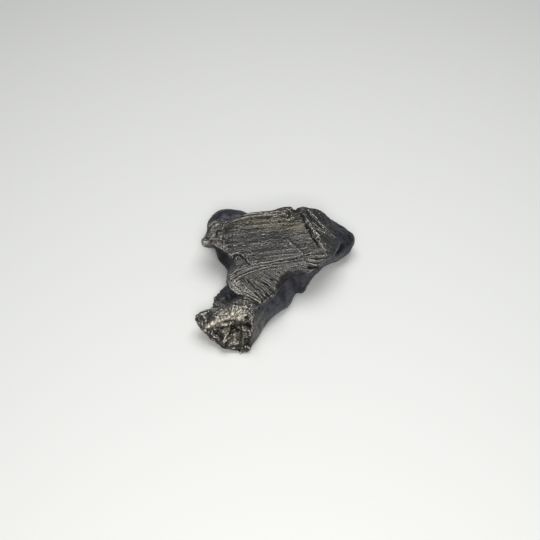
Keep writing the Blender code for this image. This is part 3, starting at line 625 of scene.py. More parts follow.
# %% Lines that the zones are measured from
GRAIN_GUIDE = [(-14.6, -9.4), (-13.4, -6.6), (-12.3, -4.4), (-10.3, -2.7), (-7.8, -1.6), (-3.6, -0.9),
               (2.4, 0.5), (9.0, 2.0), (16.0, 3.2)]
FACET_GUIDE = [(8.1, 20.4), (8.7, 18.3), (9.4, 16.6), (10.3, 14.9), (11.5, 13.2), (13.0, 11.6),
               (14.8, 10.2), (17.0, 9.0)]
TORN_CREST = [(-18.3, -17.1, 4.1), (-17.3, -17.4, 6.2), (-16.4, -17.0, 6.7), (-15.0, -16.6, 7.2),
              (-14.2, -16.7, 7.3), (-13.2, -16.4, 8.2), (-12.2, -16.2, 8.5), (-11.3, -15.0, 8.0),
              (-10.2, -15.2, 8.4)]
LEG_ROOT = [(-18.0, -6.0), (-14.0, -7.4), (-11.6, -9.4), (-8.6, -10.3), (-6.0, -11.6), (-3.8, -13.2),
            (0.0, -15.0)]
RIM_PLAN = [row[:2] for row in PLATE_RIM] + [PLATE_RIM[0][:2]]


def measure(points, normals):
    """Signed distance in millimetres to each line, and a slow noise that lets the zones' edges wander."""
    x, y, z = points.T
    at = SimpleNamespace(points=points, x=x, y=y, z=z, upward=normals[:, 2], height=z - top_height(x, y))
    at.wander = 0.25 * noise(points, 2.1, 31)
    at.rim, _ = path_distance(RIM_PLAN, x, y)
    at.step, _ = path_distance(STEP_EDGE, x, y)
    at.crest, _ = path_distance(CREST, x, y)
    at.root, _ = path_distance(LEG_ROOT, x, y)
    at.guide, at.guide_along = path_distance(GRAIN_GUIDE, x, y)
    at.torn_gap, at.torn_along = gap_in_space(TORN_CREST, points)
    return at


places, normals = read_points(stone.data)
at = measure(places, normals)
print("deepest below the plate's top, in mm:", at.height.min().round(2))

# %% [markdown]
# ## Zones of the plate
# The sheared top is cut by the crest into a plateau and a facet, and a low step lies in front of
# the plateau. At the left end the metal was not sheared but crumbled, and left a granular lobe.
# Along the back a band of the top is weathered olive, with one recess behind the crest that gets
# painted shade. The wall under the lobe's overhang is marked for painted shade as well.

# %% Masks of the plate
def plate_zones(at):
    """Products of smooth steps: in the distance to a line, in height, in how far the skin faces up."""
    x, y, z, wander = at.x, at.y, at.z, at.wander
    at.leg = smooth(0.3, -0.5, at.root + wander)
    smear = smooth(6.6, 8.2, x) * smooth(14.4, 13.0, x) * smooth(3.6, 1.8, y)
    at.top = smooth(0.30 - 0.4 * smear, 0.70 - 0.5 * smear, at.upward)
    at.top *= smooth(-2.2 - smear, -1.5 - smear, at.height)
    at.facet = smooth(0.15, -0.15, at.crest) * (1 - at.leg)
    at.lower = smooth(0.15, -0.15, at.step) * (1 - at.facet) * (1 - at.leg)
    beak = smooth(-16.5, -17.8, x) * smooth(10.0, 8.4, y)
    at.lobe = smooth(-13.2, -15.0, x + 0.25 * (y - 9) + 3 * wander) * smooth(1.5, 3.5, y)
    at.lobe *= smooth(5.6, 7.6, z + wander)
    at.lobe *= smooth(17.4, 15.6, y + 2 * wander) * smooth(0.05 - 0.9 * beak, 0.6 - 0.8 * beak, at.upward)
    at.on_plate = np.maximum(at.top * (1 - at.leg), at.lobe)
    inset = at.rim + 1.5 * wander + 0.8 * smear
    tip_edge = smooth(12.5, 14.0, x)
    at.sheared = at.top * (1 - at.leg) * (1 - at.lobe)
    at.sheared *= smooth(-0.3 + 0.9 * tip_edge, 0.2 + 1.7 * tip_edge, inset)
    # A recess behind the crest: kept out of the olive band and marked for painted shade.
    recess = smooth(0.0, 0.5, bump_at(at.points, (5.3, 16.9, 11.3), (1.7, 1.5, 2.2)))
    at.olive = (1 - recess) * at.top * smooth(8.6, 12.0, y + 3 * wander + 0.12 * x)
    at.olive *= smooth(7.5, 5.5, x) * (1 - at.leg)
    # Painted shade: the wall under the lobe's overhang, where it faces sideways or down.
    lobe_shade = smooth(0.0, 0.5, bump_at(at.points, (-14.8, 4.2, 6.8), (5.4, 6.2, 6.4)))
    at.shade = np.maximum(lobe_shade * smooth(0.60, 0.30, at.upward), 0.9 * recess)


# %% Masks inside the step, the facet and the wall
def smaller_zones(at):
    """The step's corner and ragged rim, the facet's calm part, the rolled edge, and the notch below."""
    x, y, z, wander = at.x, at.y, at.z, at.wander
    at.corner = at.lower * smooth(1.7, 2.7, -at.guide + 1.5 * wander) * smooth(-9.6, -8.4, x + 2 * wander)
    at.ragged = at.lower * smooth(-0.3, 0.5, -0.75 * (x + 9.2) - 0.66 * (y + 6) + 2 * wander)
    at.ragged *= smooth(-4.8, -6.4, y)
    at.ragged *= at.sheared
    at.calm = at.facet * smooth(0.5, -0.5, y - 12 + 0.52 * (x - 9.3) + wander)
    at.rolled = rounded_edge(x, y, 1.7)
    at.notch = smooth(-7.4, -8.8, x) * smooth(-2.6, -4.2, y) * smooth(-12.4, -10.8, y + 0.25 * (x + 12))
    at.notch *= smooth(9.3, 8.5, z - 0.1 * (x + 9)) * (1 - at.sheared)


plate_zones(at)
smaller_zones(at)
print("share of points on the sheared top:", round(float(at.sheared.mean()), 3))

# %% [markdown]
# ## Zones of the leg
# The leg's front broke off. Its right flank is the outer skin, which weather has bleached, and the
# pale band fades out along the wall. The face of the break is dark and crumbly below, and its
# upper edge is a crest of pulled fibres that shine like brass. From one point behind the
# crest the metal is pleated like a fan.

# %% Masks of the leg
FAN_ROOT = np.array([-10.9, -16.0, 8.6])


def leg_zones(at):
    """Flank and front, bleached band, face of the break, crest of fibres, and the fan by angle and reach."""
    x, y, wander, leg = at.x, at.y, at.wander, at.leg
    right = smooth(-6.5, -5.6, x + wander)
    at.flank = right * leg
    at.front = leg * (1 - at.flank)
    at.bleached = right * (1 - at.top) * smooth(2.6, -2.6, at.root + 3 * wander)
    # Just under the plate's rim the wall is left out of the pale band and stays dark, as soot and painted
    # shade of the overhang.
    at.bleached *= np.maximum(leg, smooth(-0.6, -2.2, at.height + wander))
    at.face = at.front * smooth(-15.2, -16.4, y + wander) * smooth(0.75, 0.45, at.upward)
    at.torn = at.front * smooth(0.98, 0.36, at.torn_gap + wander)
    hem = smooth(1.7, 0.9, at.root + wander) * smooth(-10.0, -8.6, x)
    at.broken = np.maximum(leg, hem)
    from_root = at.points - FAN_ROOT
    at.reach = np.hypot(from_root[:, 0], from_root[:, 1])
    at.turn = np.arctan2(from_root[:, 1], from_root[:, 0])
    at.fan = leg * smooth(4.6, 2.6, at.reach + wander) * smooth(0.3, 0.6, at.upward)
    at.fan *= smooth(-5.2, -6.4, x + wander)


leg_zones(at)
print("share of points in the fan:", round(float(at.fan.mean()), 4))

# %% [markdown]
# ## The grain
# Scored lines show which way the metal slid. They need two numbers at every point: one that
# counts across the lines, and one along them. On the plateau the lines are nearly straight. On
# the step they follow an arc, at its corner they spread from a point far to the left, on the
# facet they bend with its long side, and on the leg they cross the torn crest.

# %% Grain, zone by zone
CORNER_X, CORNER_Y = -24.0, 10.8


def lay_grain(at):
    """Across and along by zone: offset and run of a guide, or angle and reach round a point."""
    x, y = at.x, at.y
    arcs, arcs_along = path_distance(FACET_GUIDE, x, y)
    bend = 0.06 * np.clip(y - 9, 0, 9) * np.clip(-x, 0, 14) / 9
    spread = 33.0 * np.arctan2(y - CORNER_Y, x - CORNER_X) + 0.25 * noise(at.points, 1.3, 33)
    at.across, at.along = y - 0.13 * x - bend, x
    for mask, across, along in (
            (at.lower, at.guide, at.guide_along),
            (at.corner, spread, np.hypot(y - CORNER_Y, x - CORNER_X)),
            (at.facet, arcs, arcs_along),
            (at.leg, at.torn_along, at.torn_gap),
            (at.fan, 3.0 * at.turn, at.reach)):
        at.across = np.where(mask > 0.5, across, at.across)
        at.along = np.where(mask > 0.5, along, at.along)


def zones(points, normals):
    """Measures, masks and grain of every point, in one bundle."""
    at = measure(points, normals)
    for find in (plate_zones, smaller_zones, leg_zones, lay_grain):
        find(at)
    return at


lay_grain(at)
print("grain runs along for", round(float(np.ptp(at.along)), 1), "mm")

# %% [markdown]
# ## Cracks, lips and pits
# Cracks and lips are drawn along their own short paths in plan, each with a depth or a height and
# a width. The paths waver a little, so that none looks ruled. Small cracks run about on the lobe,
# long thin ones follow the scoring, and a few slits part the torn tip of the step.

# %% Paths of the cracks
# Each row: path, depth, width.
CRACKS = [
    ([(-11.4, 1.0), (-11.1, 1.8), (-10.3, 2.3), (-9.5, 1.9), (-8.9, 1.2)], 0.75, 0.20),
    ([(-8.9, 1.2), (-8.3, 0.7), (-7.8, -0.3), (-6.9, -1.1)], 0.38, 0.13),
    ([(-6.7, -1.4), (-4.9, -1.2), (-2.9, -0.8), (-0.6, -0.3), (2.0, 0.3), (4.6, 0.9),
      (6.6, 1.4)], 0.32, 0.13),
    ([(6.6, 1.4), (9.0, 2.0), (11.6, 2.5), (13.7, 2.7)], 0.26, 0.13),
    ([(-12.0, -4.0), (-9.6, -2.5), (-7.0, -1.5), (-3.4, -0.8)], 0.20, 0.12),
    ([(-12.0, -5.6), (-9.7, -3.8), (-7.2, -2.6), (-3.9, -1.5), (0.7, -0.6)], 0.18, 0.12),
    ([(-10.4, -5.9), (-8.0, -4.0), (-4.6, -2.6), (-0.6, -1.7)], 0.14, 0.12),
    ([(-7.7, -5.5), (-6.1, -7.4), (-4.6, -9.0), (-3.3, -10.8)], 0.24, 0.20),
    ([(-6.4, -5.6), (-4.6, -7.5), (-2.9, -9.3), (-1.9, -11.0)], 0.20, 0.13),
    ([(-3.9, -6.3), (-2.1, -7.8), (-0.6, -9.4)], 0.16, 0.12),
    ([(-8.4, -6.7), (-6.9, -8.7), (-5.3, -10.4)], 0.16, 0.12),
    ([(6.5, 14.9), (7.1, 14.2), (6.9, 13.5)], 0.80, 0.34),
    ([(7.1, 13.5), (7.3, 12.7), (8.0, 12.2)], 0.50, 0.20),
    ([(8.0, 12.2), (7.8, 11.3), (8.1, 10.8)], 0.75, 0.38),
    ([(8.1, 10.8), (8.5, 10.2), (8.4, 9.4), (9.0, 8.4)], 0.60, 0.20),
    ([(6.2, 15.8), (6.6, 14.9), (7.1, 14.7)], 0.40, 0.26),
    ([(8.8, 8.5), (9.6, 6.7), (10.3, 5.4), (10.8, 4.8)], 0.55, 0.17),
    ([(-13.4, 13.3), (-11.9, 13.9), (-10.6, 14.7), (-9.6, 16.4)], 0.40, 0.18),
    ([(-13.0, 12.9), (-9.8, 14.1), (-6.6, 14.9), (-3.2, 15.4), (0.8, 15.6)], 0.16, 0.16),
    ([(0.6, 13.5), (2.6, 13.1), (4.3, 13.5)], 0.22, 0.20),
    ([(2.6, 16.9), (3.2, 16.0), (3.1, 15.1)], 0.24, 0.22),
    ([(-8.6, 9.6), (-3.8, 10.4), (1.4, 11.0), (5.4, 11.2)], 0.06, 0.12),
    ([(-6.8, 5.2), (-1.6, 5.9), (4.2, 6.5)], 0.05, 0.11),
    ([(8.2, -1.5), (9.2, -1.6), (10.4, -1.5)], 0.85, 0.30),
    ([(7.6, 0.1), (9.0, -0.2), (10.8, -0.3)], 0.30, 0.18),
    ([(-8.4, -9.3), (-7.3, -9.8), (-6.1, -10.5), (-5.0, -11.3), (-4.3, -12.0)], 0.45, 0.15),
    ([(-3.7, -12.8), (-4.0, -11.8), (-4.6, -10.6), (-5.6, -9.4)], 0.50, 0.20),
    ([(-1.7, -11.4), (-2.2, -10.6), (-3.0, -9.7)], 0.50, 0.20),
    ([(-0.6, -9.8), (-1.2, -9.0), (-1.9, -8.3)], 0.36, 0.17),
    ([(-18.6, 10.6), (-17.7, 12.6), (-16.6, 13.6)], 0.30, 0.24),
    ([(-15.0, 10.7), (-15.6, 10.9), (-15.9, 10.2), (-15.7, 9.5), (-15.2, 9.3)], 0.52, 0.25),
    ([(-18.5, 8.9), (-18.0, 8.7)], 0.46, 0.26),
    ([(-16.2, 9.0), (-15.9, 8.8)], 0.40, 0.25),
    ([(-14.3, 8.3), (-14.2, 7.8)], 0.42, 0.22),
    ([(-14.8, 7.3), (-14.5, 6.8), (-14.3, 6.6)], 0.42, 0.23),
    ([(-17.4, 7.7), (-17.2, 7.3)], 0.42, 0.22),
    ([(-15.5, 7.5), (-15.0, 7.4)], 0.40, 0.24),
    ([(-13.9, 11.5), (-13.5, 11.2), (-13.6, 10.7)], 0.42, 0.22),
]
print("cracks:", len(CRACKS))

# %% Paths of the lips
# Each row: path, height, width.
LIPS = [
    ([(-17.1, 6.8), (-15.9, 5.6), (-14.5, 4.5), (-13.2, 3.5), (-12.1, 2.5)], 0.22, 0.26),
    ([(-11.9, 2.2), (-11.2, 2.6), (-10.2, 2.9), (-9.2, 2.4), (-8.4, 1.4), (-7.6, 0.5)], 0.17, 0.14),
    ([(-6.5, -0.9), (-4.9, -0.8), (-2.9, -0.4), (-0.6, 0.1), (2.0, 0.7), (4.6, 1.3),
      (6.6, 1.8)], 0.08, 0.11),
    ([(-12.3, -4.6), (-10.0, -2.9), (-7.5, -1.9), (-3.9, -1.1), (0.7, -0.2)], 0.12, 0.12),
    ([(-11.4, -6.3), (-9.5, -4.4), (-6.9, -3.2), (-3.9, -2.1), (-0.6, -1.2)], 0.10, 0.12),
    ([(-9.2, -6.0), (-7.4, -8.3), (-5.6, -10.1), (-4.3, -11.6)], 0.22, 0.17),
    ([(-8.7, -4.5), (-7.7, -5.9)], 0.16, 0.16),
    ([(-5.4, -5.7), (-3.4, -7.3), (-1.9, -9.0), (-0.6, -10.3)], 0.12, 0.12),
    ([(-4.4, -5.3), (-2.4, -6.9), (-0.3, -8.3)], 0.10, 0.12),
    ([(-3.4, -4.6), (-1.6, -5.8), (0.2, -6.8)], 0.08, 0.12),
    ([(-12.2, -5.6), (-10.9, -7.2), (-9.4, -8.8), (-7.8, -10.0)], 0.16, 0.20),
    ([(5.6, 1.6), (6.6, 1.8), (9.0, 2.4), (11.0, 3.0)], 0.14, 0.13),
    ([(10.6, 1.7), (12.6, 2.2), (14.2, 2.6)], 0.10, 0.14),
    ([(7.0, 15.6), (7.9, 13.6), (8.8, 11.9), (9.4, 10.0), (9.9, 8.4), (10.6, 7.8), (11.2, 6.8),
      (10.9, 5.6)], 0.28, 0.17),
    ([(9.6, 7.8), (10.0, 6.9), (10.8, 5.8)], 0.16, 0.13),
    ([(8.9, 10.9), (10.2, 9.3), (11.2, 8.4)], 0.16, 0.15),
    ([(9.2, 12.9), (11.3, 11.0), (13.5, 10.2), (15.4, 9.0)], 0.13, 0.15),
    ([(13.1, 15.6), (14.3, 14.4), (14.9, 12.8), (15.4, 11.8)], 0.13, 0.15),
    ([(1.4, 14.2), (2.4, 13.8), (3.4, 13.9), (4.3, 14.6)], 0.30, 0.24),
    ([(2.5, 17.9), (3.4, 17.2), (3.9, 16.2), (3.8, 15.2)], 0.22, 0.24),
    ([(1.4, 16.6), (2.2, 16.2), (2.8, 15.4)], 0.14, 0.20),
    ([(-1.8, 14.9), (-0.4, 15.2), (0.9, 15.8)], 0.14, 0.18),
    ([(-3.4, 16.2), (-1.4, 16.7), (0.6, 17.2)], 0.12, 0.16),
    ([(-6.5, 13.4), (-2.6, 13.9), (0.4, 13.9)], 0.07, 0.12),
    ([(-9.4, 11.6), (-4.6, 12.4), (-0.2, 12.8), (3.6, 12.9)], 0.06, 0.12),
    ([(-7.8, 7.4), (-3.4, 7.9), (0.8, 8.6), (5.6, 9.2)], 0.07, 0.11),
    ([(-1.9, 1.6), (2.0, 2.1), (6.2, 2.6)], 0.05, 0.11),
    ([(7.6, 12.7), (8.9, 10.2), (10.1, 8.6)], 0.20, 0.15),
    ([(12.8, 15.8), (14.1, 13.4), (14.8, 11.0)], 0.12, 0.13),
    ([(9.1, 16.1), (10.4, 14.4), (11.9, 12.4), (13.1, 10.3)], 0.14, 0.12),
    ([(8.6, 11.4), (9.9, 10.6), (11.2, 10.2), (13.1, 9.6), (15.2, 8.4)], 0.18, 0.13),
    ([(9.4, 15.4), (10.9, 14.1), (12.4, 12.6), (14.0, 10.7), (15.5, 8.9)], 0.14, 0.12),
    ([(7.6, 13.9), (9.0, 12.7), (9.8, 11.4)], 0.14, 0.13),
    ([(8.4, 17.6), (9.6, 16.2), (10.6, 15.0)], 0.12, 0.12),
    ([(-9.2, 15.6), (-7.2, 16.2), (-4.8, 16.5), (-2.4, 16.6)], 0.16, 0.16),
    ([(-11.6, 13.9), (-9.3, 14.8), (-6.6, 15.5), (-4.0, 15.8)], 0.14, 0.14),
    ([(7.3, 0.8), (8.9, 0.5), (10.9, 0.2)], 0.20, 0.15),
    ([(7.7, -0.6), (8.8, -0.8), (10.1, -0.8)], 0.28, 0.16),
    ([(8.2, -2.5), (8.8, -2.4), (9.6, -1.9)], 0.22, 0.17),
    ([(2.7, 6.8), (3.6, 5.7), (4.6, 4.7), (5.6, 3.4), (6.5, 1.8)], 0.15, 0.40),
    ([(-8.5, -9.9), (-7.4, -10.3), (-6.2, -11.0), (-5.1, -11.8), (-4.2, -12.4)], 0.34, 0.20),
    ([(-3.8, -12.6), (-3.0, -12.0), (-2.2, -11.0), (-1.2, -10.4)], 0.22, 0.20),
    ([(-12.6, -6.0), (-11.7, -7.8), (-10.4, -9.2), (-9.0, -9.9)], 0.22, 0.22),
    ([(-19.9, 8.6), (-19.6, 7.8), (-19.0, 7.2)], 0.32, 0.40),
    ([(-17.4, 13.6), (-16.4, 14.4)], 0.12, 0.22),
    ([(-14.6, 14.3), (-13.4, 13.8)], 0.14, 0.22),
    ([(-7.5, 3.9), (-6.9, 3.2), (-6.3, 2.9)], 0.10, 0.16),
    ([(-10.4, 9.0), (-6.0, 9.8), (-2.0, 10.2)], 0.06, 0.12),
    ([(-8.0, 4.6), (-2.0, 5.6), (3.0, 6.2)], 0.06, 0.12),
    ([(-5.0, 2.4), (1.0, 3.4), (7.6, 4.2)], 0.07, 0.12),
]
print("lips:", len(LIPS))

# %% Small pits
# Each row: middle in plan, radius, depth.
PITS = [
    ((-5.3, 11.2), 0.30, 0.22), ((-7.3, 6.7), 0.24, 0.16), ((-4.4, 6.6), 0.22, 0.16),
    ((-10.5, 11.5), 0.26, 0.18), ((-1.5, -5.3), 0.34, 0.26), ((10.6, 6.9), 0.30, 0.40),
    ((9.9, 8.3), 0.40, 0.30), ((2.0, 3.6), 0.18, 0.10), ((-9.4, 4.4), 0.20, 0.10), ((5.2, 9.4), 0.18, 0.10),
    ((-15.2, 10.4), 0.20, 0.20), ((-14.6, 12.6), 0.22, 0.16), ((-12.6, 5.2), 0.22, 0.16),
    ((-18.5, 7.9), 0.20, 0.16), ((-12.0, 8.2), 0.20, 0.14), ((-7.9, 12.6), 0.22, 0.16),
    ((-10.9, 4.9), 0.20, 0.14), ((-2.2, 9.3), 0.20, 0.14), ((1.6, 12.3), 0.22, 0.16),
    ((4.0, 10.6), 0.20, 0.14), ((0.2, 4.4), 0.18, 0.12), ((-6.2, 2.2), 0.18, 0.12),
    ((6.0, 7.2), 0.20, 0.12), ((-9.0, 8.4), 0.20, 0.14),
]
print("pits:", len(PITS))

# %% Depth of the cracks and height of the lips
def waver(path, x, y, width, wander):
    """e^(-(distance/width)^2) to the wavering path."""
    gap, _ = path_distance(path, x, y)
    return np.exp(-((gap + wander) / width) ** 2)


def marks(at, dark_spread=1.0):
    """Depth of the cracks and pits, each crack widened by dark_spread, and height of the lips, in
    millimetres.
    """
    points, x, y = at.points, at.x, at.y
    cut = np.zeros(len(points))
    raised = np.zeros(len(points))
    uneven = 0.45 + 1.0 * np.abs(noise(points, 0.8, 41))
    jagged = 0.5 * at.wander + 0.13 * noise(points, 0.7, 42)
    for path, depth, width in CRACKS:
        cut = np.maximum(cut, depth * waver(path, x, y, dark_spread * width, jagged) * uneven)
    for path, height, width in LIPS:
        raised = np.maximum(raised, height * waver(path, x, y, width, jagged) * uneven)
    for (px, py), radius, depth in PITS:
        cut = np.maximum(cut, depth * np.exp(-((x - px) ** 2 + (y - py) ** 2) / radius ** 2))
    return cut, raised


at.cut, at.raised = marks(at)
print("deepest crack and highest lip, in mm:", at.cut.max().round(2), at.raised.max().round(2))

# %% [markdown]
# ## The break at the end of the leg
# The end tore in tension, so it is the roughest and brightest part: a crest of pulled fibres,
# a spur that runs down the face, sharp rims round deep pockets, and a few flat cleavage facets.
# These are placed in space, because the face is upright and a plan would not show it. A few
# rims also curl out from under the torn front edge of the step.

# %% Rims on the break
# Each row: path in space, height, width.
RIMS = [
    (TORN_CREST, 0.25, 0.42),
    ([(-11.7, -17.4, 7.0), (-12.0, -18.0, 5.5), (-12.4, -18.5, 4.5), (-12.8, -19.4, 4.4),
      (-13.4, -20.0, 3.8), (-14.0, -20.5, 2.7)], 0.42, 0.24),
    ([(-13.5, -20.6, 3.2), (-12.6, -19.9, 3.6), (-11.8, -18.9, 3.3), (-10.7, -18.1, 3.4),
      (-9.7, -17.8, 3.9)], 0.34, 0.24),
    ([(-9.9, -17.7, 3.6), (-9.4, -17.9, 4.1)], 0.50, 0.50),
    ([(-8.5, -19.4, 4.5), (-8.6, -20.0, 3.6), (-8.7, -20.6, 2.2)], 0.28, 0.34),
    ([(-6.4, -16.6, 8.3), (-6.3, -17.6, 7.8), (-6.1, -18.1, 6.4)], 0.36, 0.26),
    ([(-6.3, -18.6, 6.0), (-6.5, -18.9, 5.4), (-6.9, -19.5, 5.2)], 0.40, 0.26),
    ([(-10.2, -15.2, 8.4), (-9.3, -15.9, 8.7), (-8.0, -15.9, 9.0), (-6.7, -15.5, 8.7)], 0.38, 0.22),
    ([(-9.2, -12.6, 8.2), (-8.3, -13.5, 8.7), (-7.9, -14.4, 8.8), (-8.4, -15.0, 8.8)], 0.38, 0.24),
    ([(-10.0, -15.0, 8.4), (-9.0, -14.0, 8.7), (-8.1, -13.1, 8.8), (-7.1, -12.3, 8.1)], 0.26, 0.22),
    ([(-9.7, -15.5, 8.7), (-8.5, -14.9, 8.8), (-7.3, -14.5, 8.7)], 0.26, 0.20),
    ([(-10.3, -14.5, 8.6), (-9.8, -12.8, 8.4), (-9.3, -11.4, 8.3)], 0.24, 0.22),
    ([(-9.7, -16.1, 8.6), (-8.5, -16.2, 8.7), (-7.0, -15.7, 8.6)], 0.34, 0.20),
    ([(-11.0, -14.6, 8.4), (-11.2, -13.0, 8.1), (-11.0, -11.6, 8.0)], 0.18, 0.20),
    ([(-8.9, -12.9, 8.6), (-8.0, -12.0, 8.4)], 0.20, 0.20),
    ([(-8.3, -10.6, 8.8), (-7.2, -10.8, 8.8), (-6.2, -11.3, 9.0)], 0.42, 0.26),
    ([(-8.0, -11.3, 8.6), (-6.8, -11.3, 8.6), (-5.6, -12.0, 8.8)], 0.34, 0.22),
    ([(-7.0, -12.2, 8.4), (-5.8, -12.4, 8.6)], 0.26, 0.22),
    ([(-8.4, -9.8, 9.5), (-7.3, -10.4, 9.3), (-6.3, -11.0, 9.2), (-5.3, -11.8, 9.2)], 0.30, 0.20),
    ([(-11.3, -15.0, 8.0), (-11.1, -13.8, 8.3), (-10.3, -13.1, 8.4)], 0.26, 0.34),
    ([(-20.5, -14.6, 5.8), (-19.4, -14.0, 6.3), (-18.5, -13.9, 6.7)], 0.26, 0.34),
    ([(-19.6, -15.6, 4.6), (-18.2, -16.6, 4.4)], 0.25, 0.25),
    ([(-9.6, -16.5, 8.0), (-8.5, -16.8, 7.6)], 0.30, 0.45),
    ([(-16.4, -17.9, 3.4), (-15.2, -18.6, 3.0), (-14.4, -19.2, 2.2)], 0.22, 0.30),
    ([(-15.8, -17.6, 5.2), (-14.6, -17.8, 4.0)], 0.22, 0.28),
]
print("rims:", len(RIMS))

# %% Pockets in the break
# Each row: middle, radius, depth.
POCKETS = [
    ((-7.5, -16.6, 8.2), 0.70, 0.85), ((-7.6, -17.8, 6.4), 1.05, 1.05), ((-9.3, -17.6, 6.2), 0.85, 0.60),
    ((-7.6, -19.1, 5.4), 0.85, 0.80), ((-10.8, -17.4, 4.9), 0.85, 0.55), ((-13.4, -17.9, 5.6), 0.80, 0.40),
    ((-16.9, -17.9, 4.4), 0.75, 0.35), ((-15.4, -19.2, 3.2), 0.70, 0.35), ((-7.6, -20.8, 2.4), 0.70, 0.35),
    ((-16.6, -15.9, 6.4), 0.35, 0.35), ((-15.0, -14.6, 7.6), 0.40, 0.35), ((-14.3, -15.6, 7.8), 0.35, 0.30),
    ((-17.3, -15.0, 6.3), 0.40, 0.35), ((-16.5, -11.6, 5.6), 0.40, 0.35), ((-13.9, -11.6, 6.8), 0.45, 0.40),
    ((-12.1, -11.8, 7.8), 0.40, 0.40), ((-10.6, -13.2, 8.5), 0.35, 0.40), ((-13.3, -14.5, 7.9), 0.35, 0.30),
    ((-9.8, -10.0, 8.0), 0.70, 0.40), ((-17.6, -13.0, 6.2), 0.35, 0.30), ((-12.4, -13.4, 8.0), 0.30, 0.25),
]


def break_marks(points):
    """Height of the rims and depth of the pockets, in millimetres."""
    raised = np.zeros(len(points))
    sunk = np.zeros(len(points))
    uneven = 0.5 + 0.9 * np.abs(noise(points, 0.9, 43))
    jagged = 0.12 * noise(points, 0.8, 44)
    for path, height, width in RIMS:
        gap, _ = gap_in_space(path, points)
        raised = np.maximum(raised, height * np.exp(-((gap + jagged) / width) ** 2) * uneven)
    for middle, radius, depth in POCKETS:
        sunk = np.maximum(sunk, depth * bump_at(points, middle, (radius * 1.3,) * 3))
    return raised, sunk


at.spikes, at.sunk = break_marks(places)
print("highest rim and deepest pocket, in mm:", at.spikes.max().round(2), at.sunk.max().round(2))

# %% [markdown]
# ## Relief of the plate
# Scored lines are noise that is stretched out along the grain. Three widths are laid over each
# other, faint on the plateau and bold on the step and the facet, and stronger in some patches
# than in others. Thin scratches and little flakes break them up. Then come the lips and cracks.

# %% Scoring, scratches and the plate's relief
def scoring(at, sizes, seed, length=9):
    """Noise in cells long along the grain and narrow across it, summed over the given widths."""
    total = np.zeros(len(at.across))
    for k, (width, height) in enumerate(sizes):
        total += height * noise(flat(at.along / (width * length), at.across / width), 1.0, seed + k)
    return total


def scratches(at, width, length, seed):
    """Thin lines along the grain: 1 where stretched noise crosses zero, kept only in patches."""
    wide_cells = flat(at.along / (length * 0.8), at.across / (width * 2.2))
    patch = smooth(0.05, 0.45, noise(wide_cells, 1.0, seed + 1))
    return smooth(0.62, 0.95, sharp_ridges(flat(at.along / length, at.across / width), 1.0, seed)) * patch


def plate_relief(at):
    """How far the plate rises: patches of scoring by zone, scratches, flakes, and lips less cracks."""
    points, sheared = at.points, at.sheared
    wide = scoring(at, [(0.90, 0.050), (0.42, 0.030), (0.26, 0.022)], 51, 34)
    bold = scoring(at, [(0.62, 0.10), (0.36, 0.08), (0.24, 0.05)], 61, 18)
    bold *= 0.45 + 1.1 * np.abs(scoring(at, [(1.9, 1.0)], 64, 3))
    inner = smooth(0.1, 1.0, at.rim + at.wander)
    rise = 0.75 * (sheared * (1 - at.lower) * (1 - at.facet)) * wide
    rise += sheared * at.lower * (1 - at.ragged) * (0.3 * wide + 1.15 * inner * bold)
    rise += sheared * at.facet * (1 - 0.75 * at.calm) * (0.5 * wide + 0.8 * bold)
    rise *= 0.55 + 0.8 * np.abs(noise(points, 3.1, 53)) + 0.4 * noise(points, 1.4, 54)
    fine = 0.05 * scratches(at, 0.62, 14.0, 55) + 0.022 * noise(points, 0.33, 56)
    rise += sheared * (fine + 0.02 * noise(points, 0.9, 57))
    rise -= sheared * 0.08 * smooth(0.45, 0.62, noise(points, 0.46, 58))
    return rise + (at.raised - at.cut) * at.on_plate


up = plate_relief(at)
print("plate relief, lowest and highest in mm:", up.min().round(2), up.max().round(2))

# %% [markdown]
# ## Relief of the walls and the break
# The melted skin is only a little uneven, the lobe is granular, and the notch under the plate is
# blocky. On the leg come crumbs, pits, the fibres of the crest, which lie across it, and the
# pleats of the fan. All of these push a point out along its normal, because they stand on
# walls as well as on the top.

# %% Lobe, walls and notch
def wall_relief(at):
    """Granules on the lobe, blocks in the notch, and a low swell on all melted skin, in millimetres."""
    points = at.points
    granules = 0.03 * noise(points, 1.9, 71) + 0.03 * noise(points, 0.7, 72)
    granules += 0.045 * noise(points, 0.40, 70)
    granules -= 0.08 * smooth(0.3, 0.5, noise(points, 0.8, 69))
    blocks = 0.34 * noise(points, 1.6, 81) + 0.24 * noise(points, 0.8, 82)
    blocks -= 0.26 * sharp_ridges(points, 1.8, 83)
    skin = 0.06 * noise(points, 1.2, 77) + 0.03 * noise(points, 0.5, 78)
    skin -= 0.05 * smooth(0.45, 0.8, noise(points, 1.1, 87))
    out = np.maximum(at.lobe, 0.5 * at.ragged) * granules
    out += np.clip(1 - at.lobe - at.leg - at.sheared - at.notch, 0, 1) * skin
    return out + (at.notch * blocks + at.leg * at.flank * skin)


def rim_relief(at):
    """Uneven metal on the upper wall, just under the plate's rim, in millimetres."""
    wall_rim = smooth(0.75, 0.35, at.upward) * smooth(-2.6, -1.2, at.height) * (1 - at.leg)
    wall_rim *= (1 - at.rolled) * smooth(13.5, 12.0, at.x - 0.5 * np.abs(at.y - 9))
    return wall_rim * (0.16 * noise(at.points, 0.8, 79) + 0.12 * noise(at.points, 1.7, 80))


out = wall_relief(at)
print("wall relief, lowest and highest in mm:", out.min().round(2), out.max().round(2))

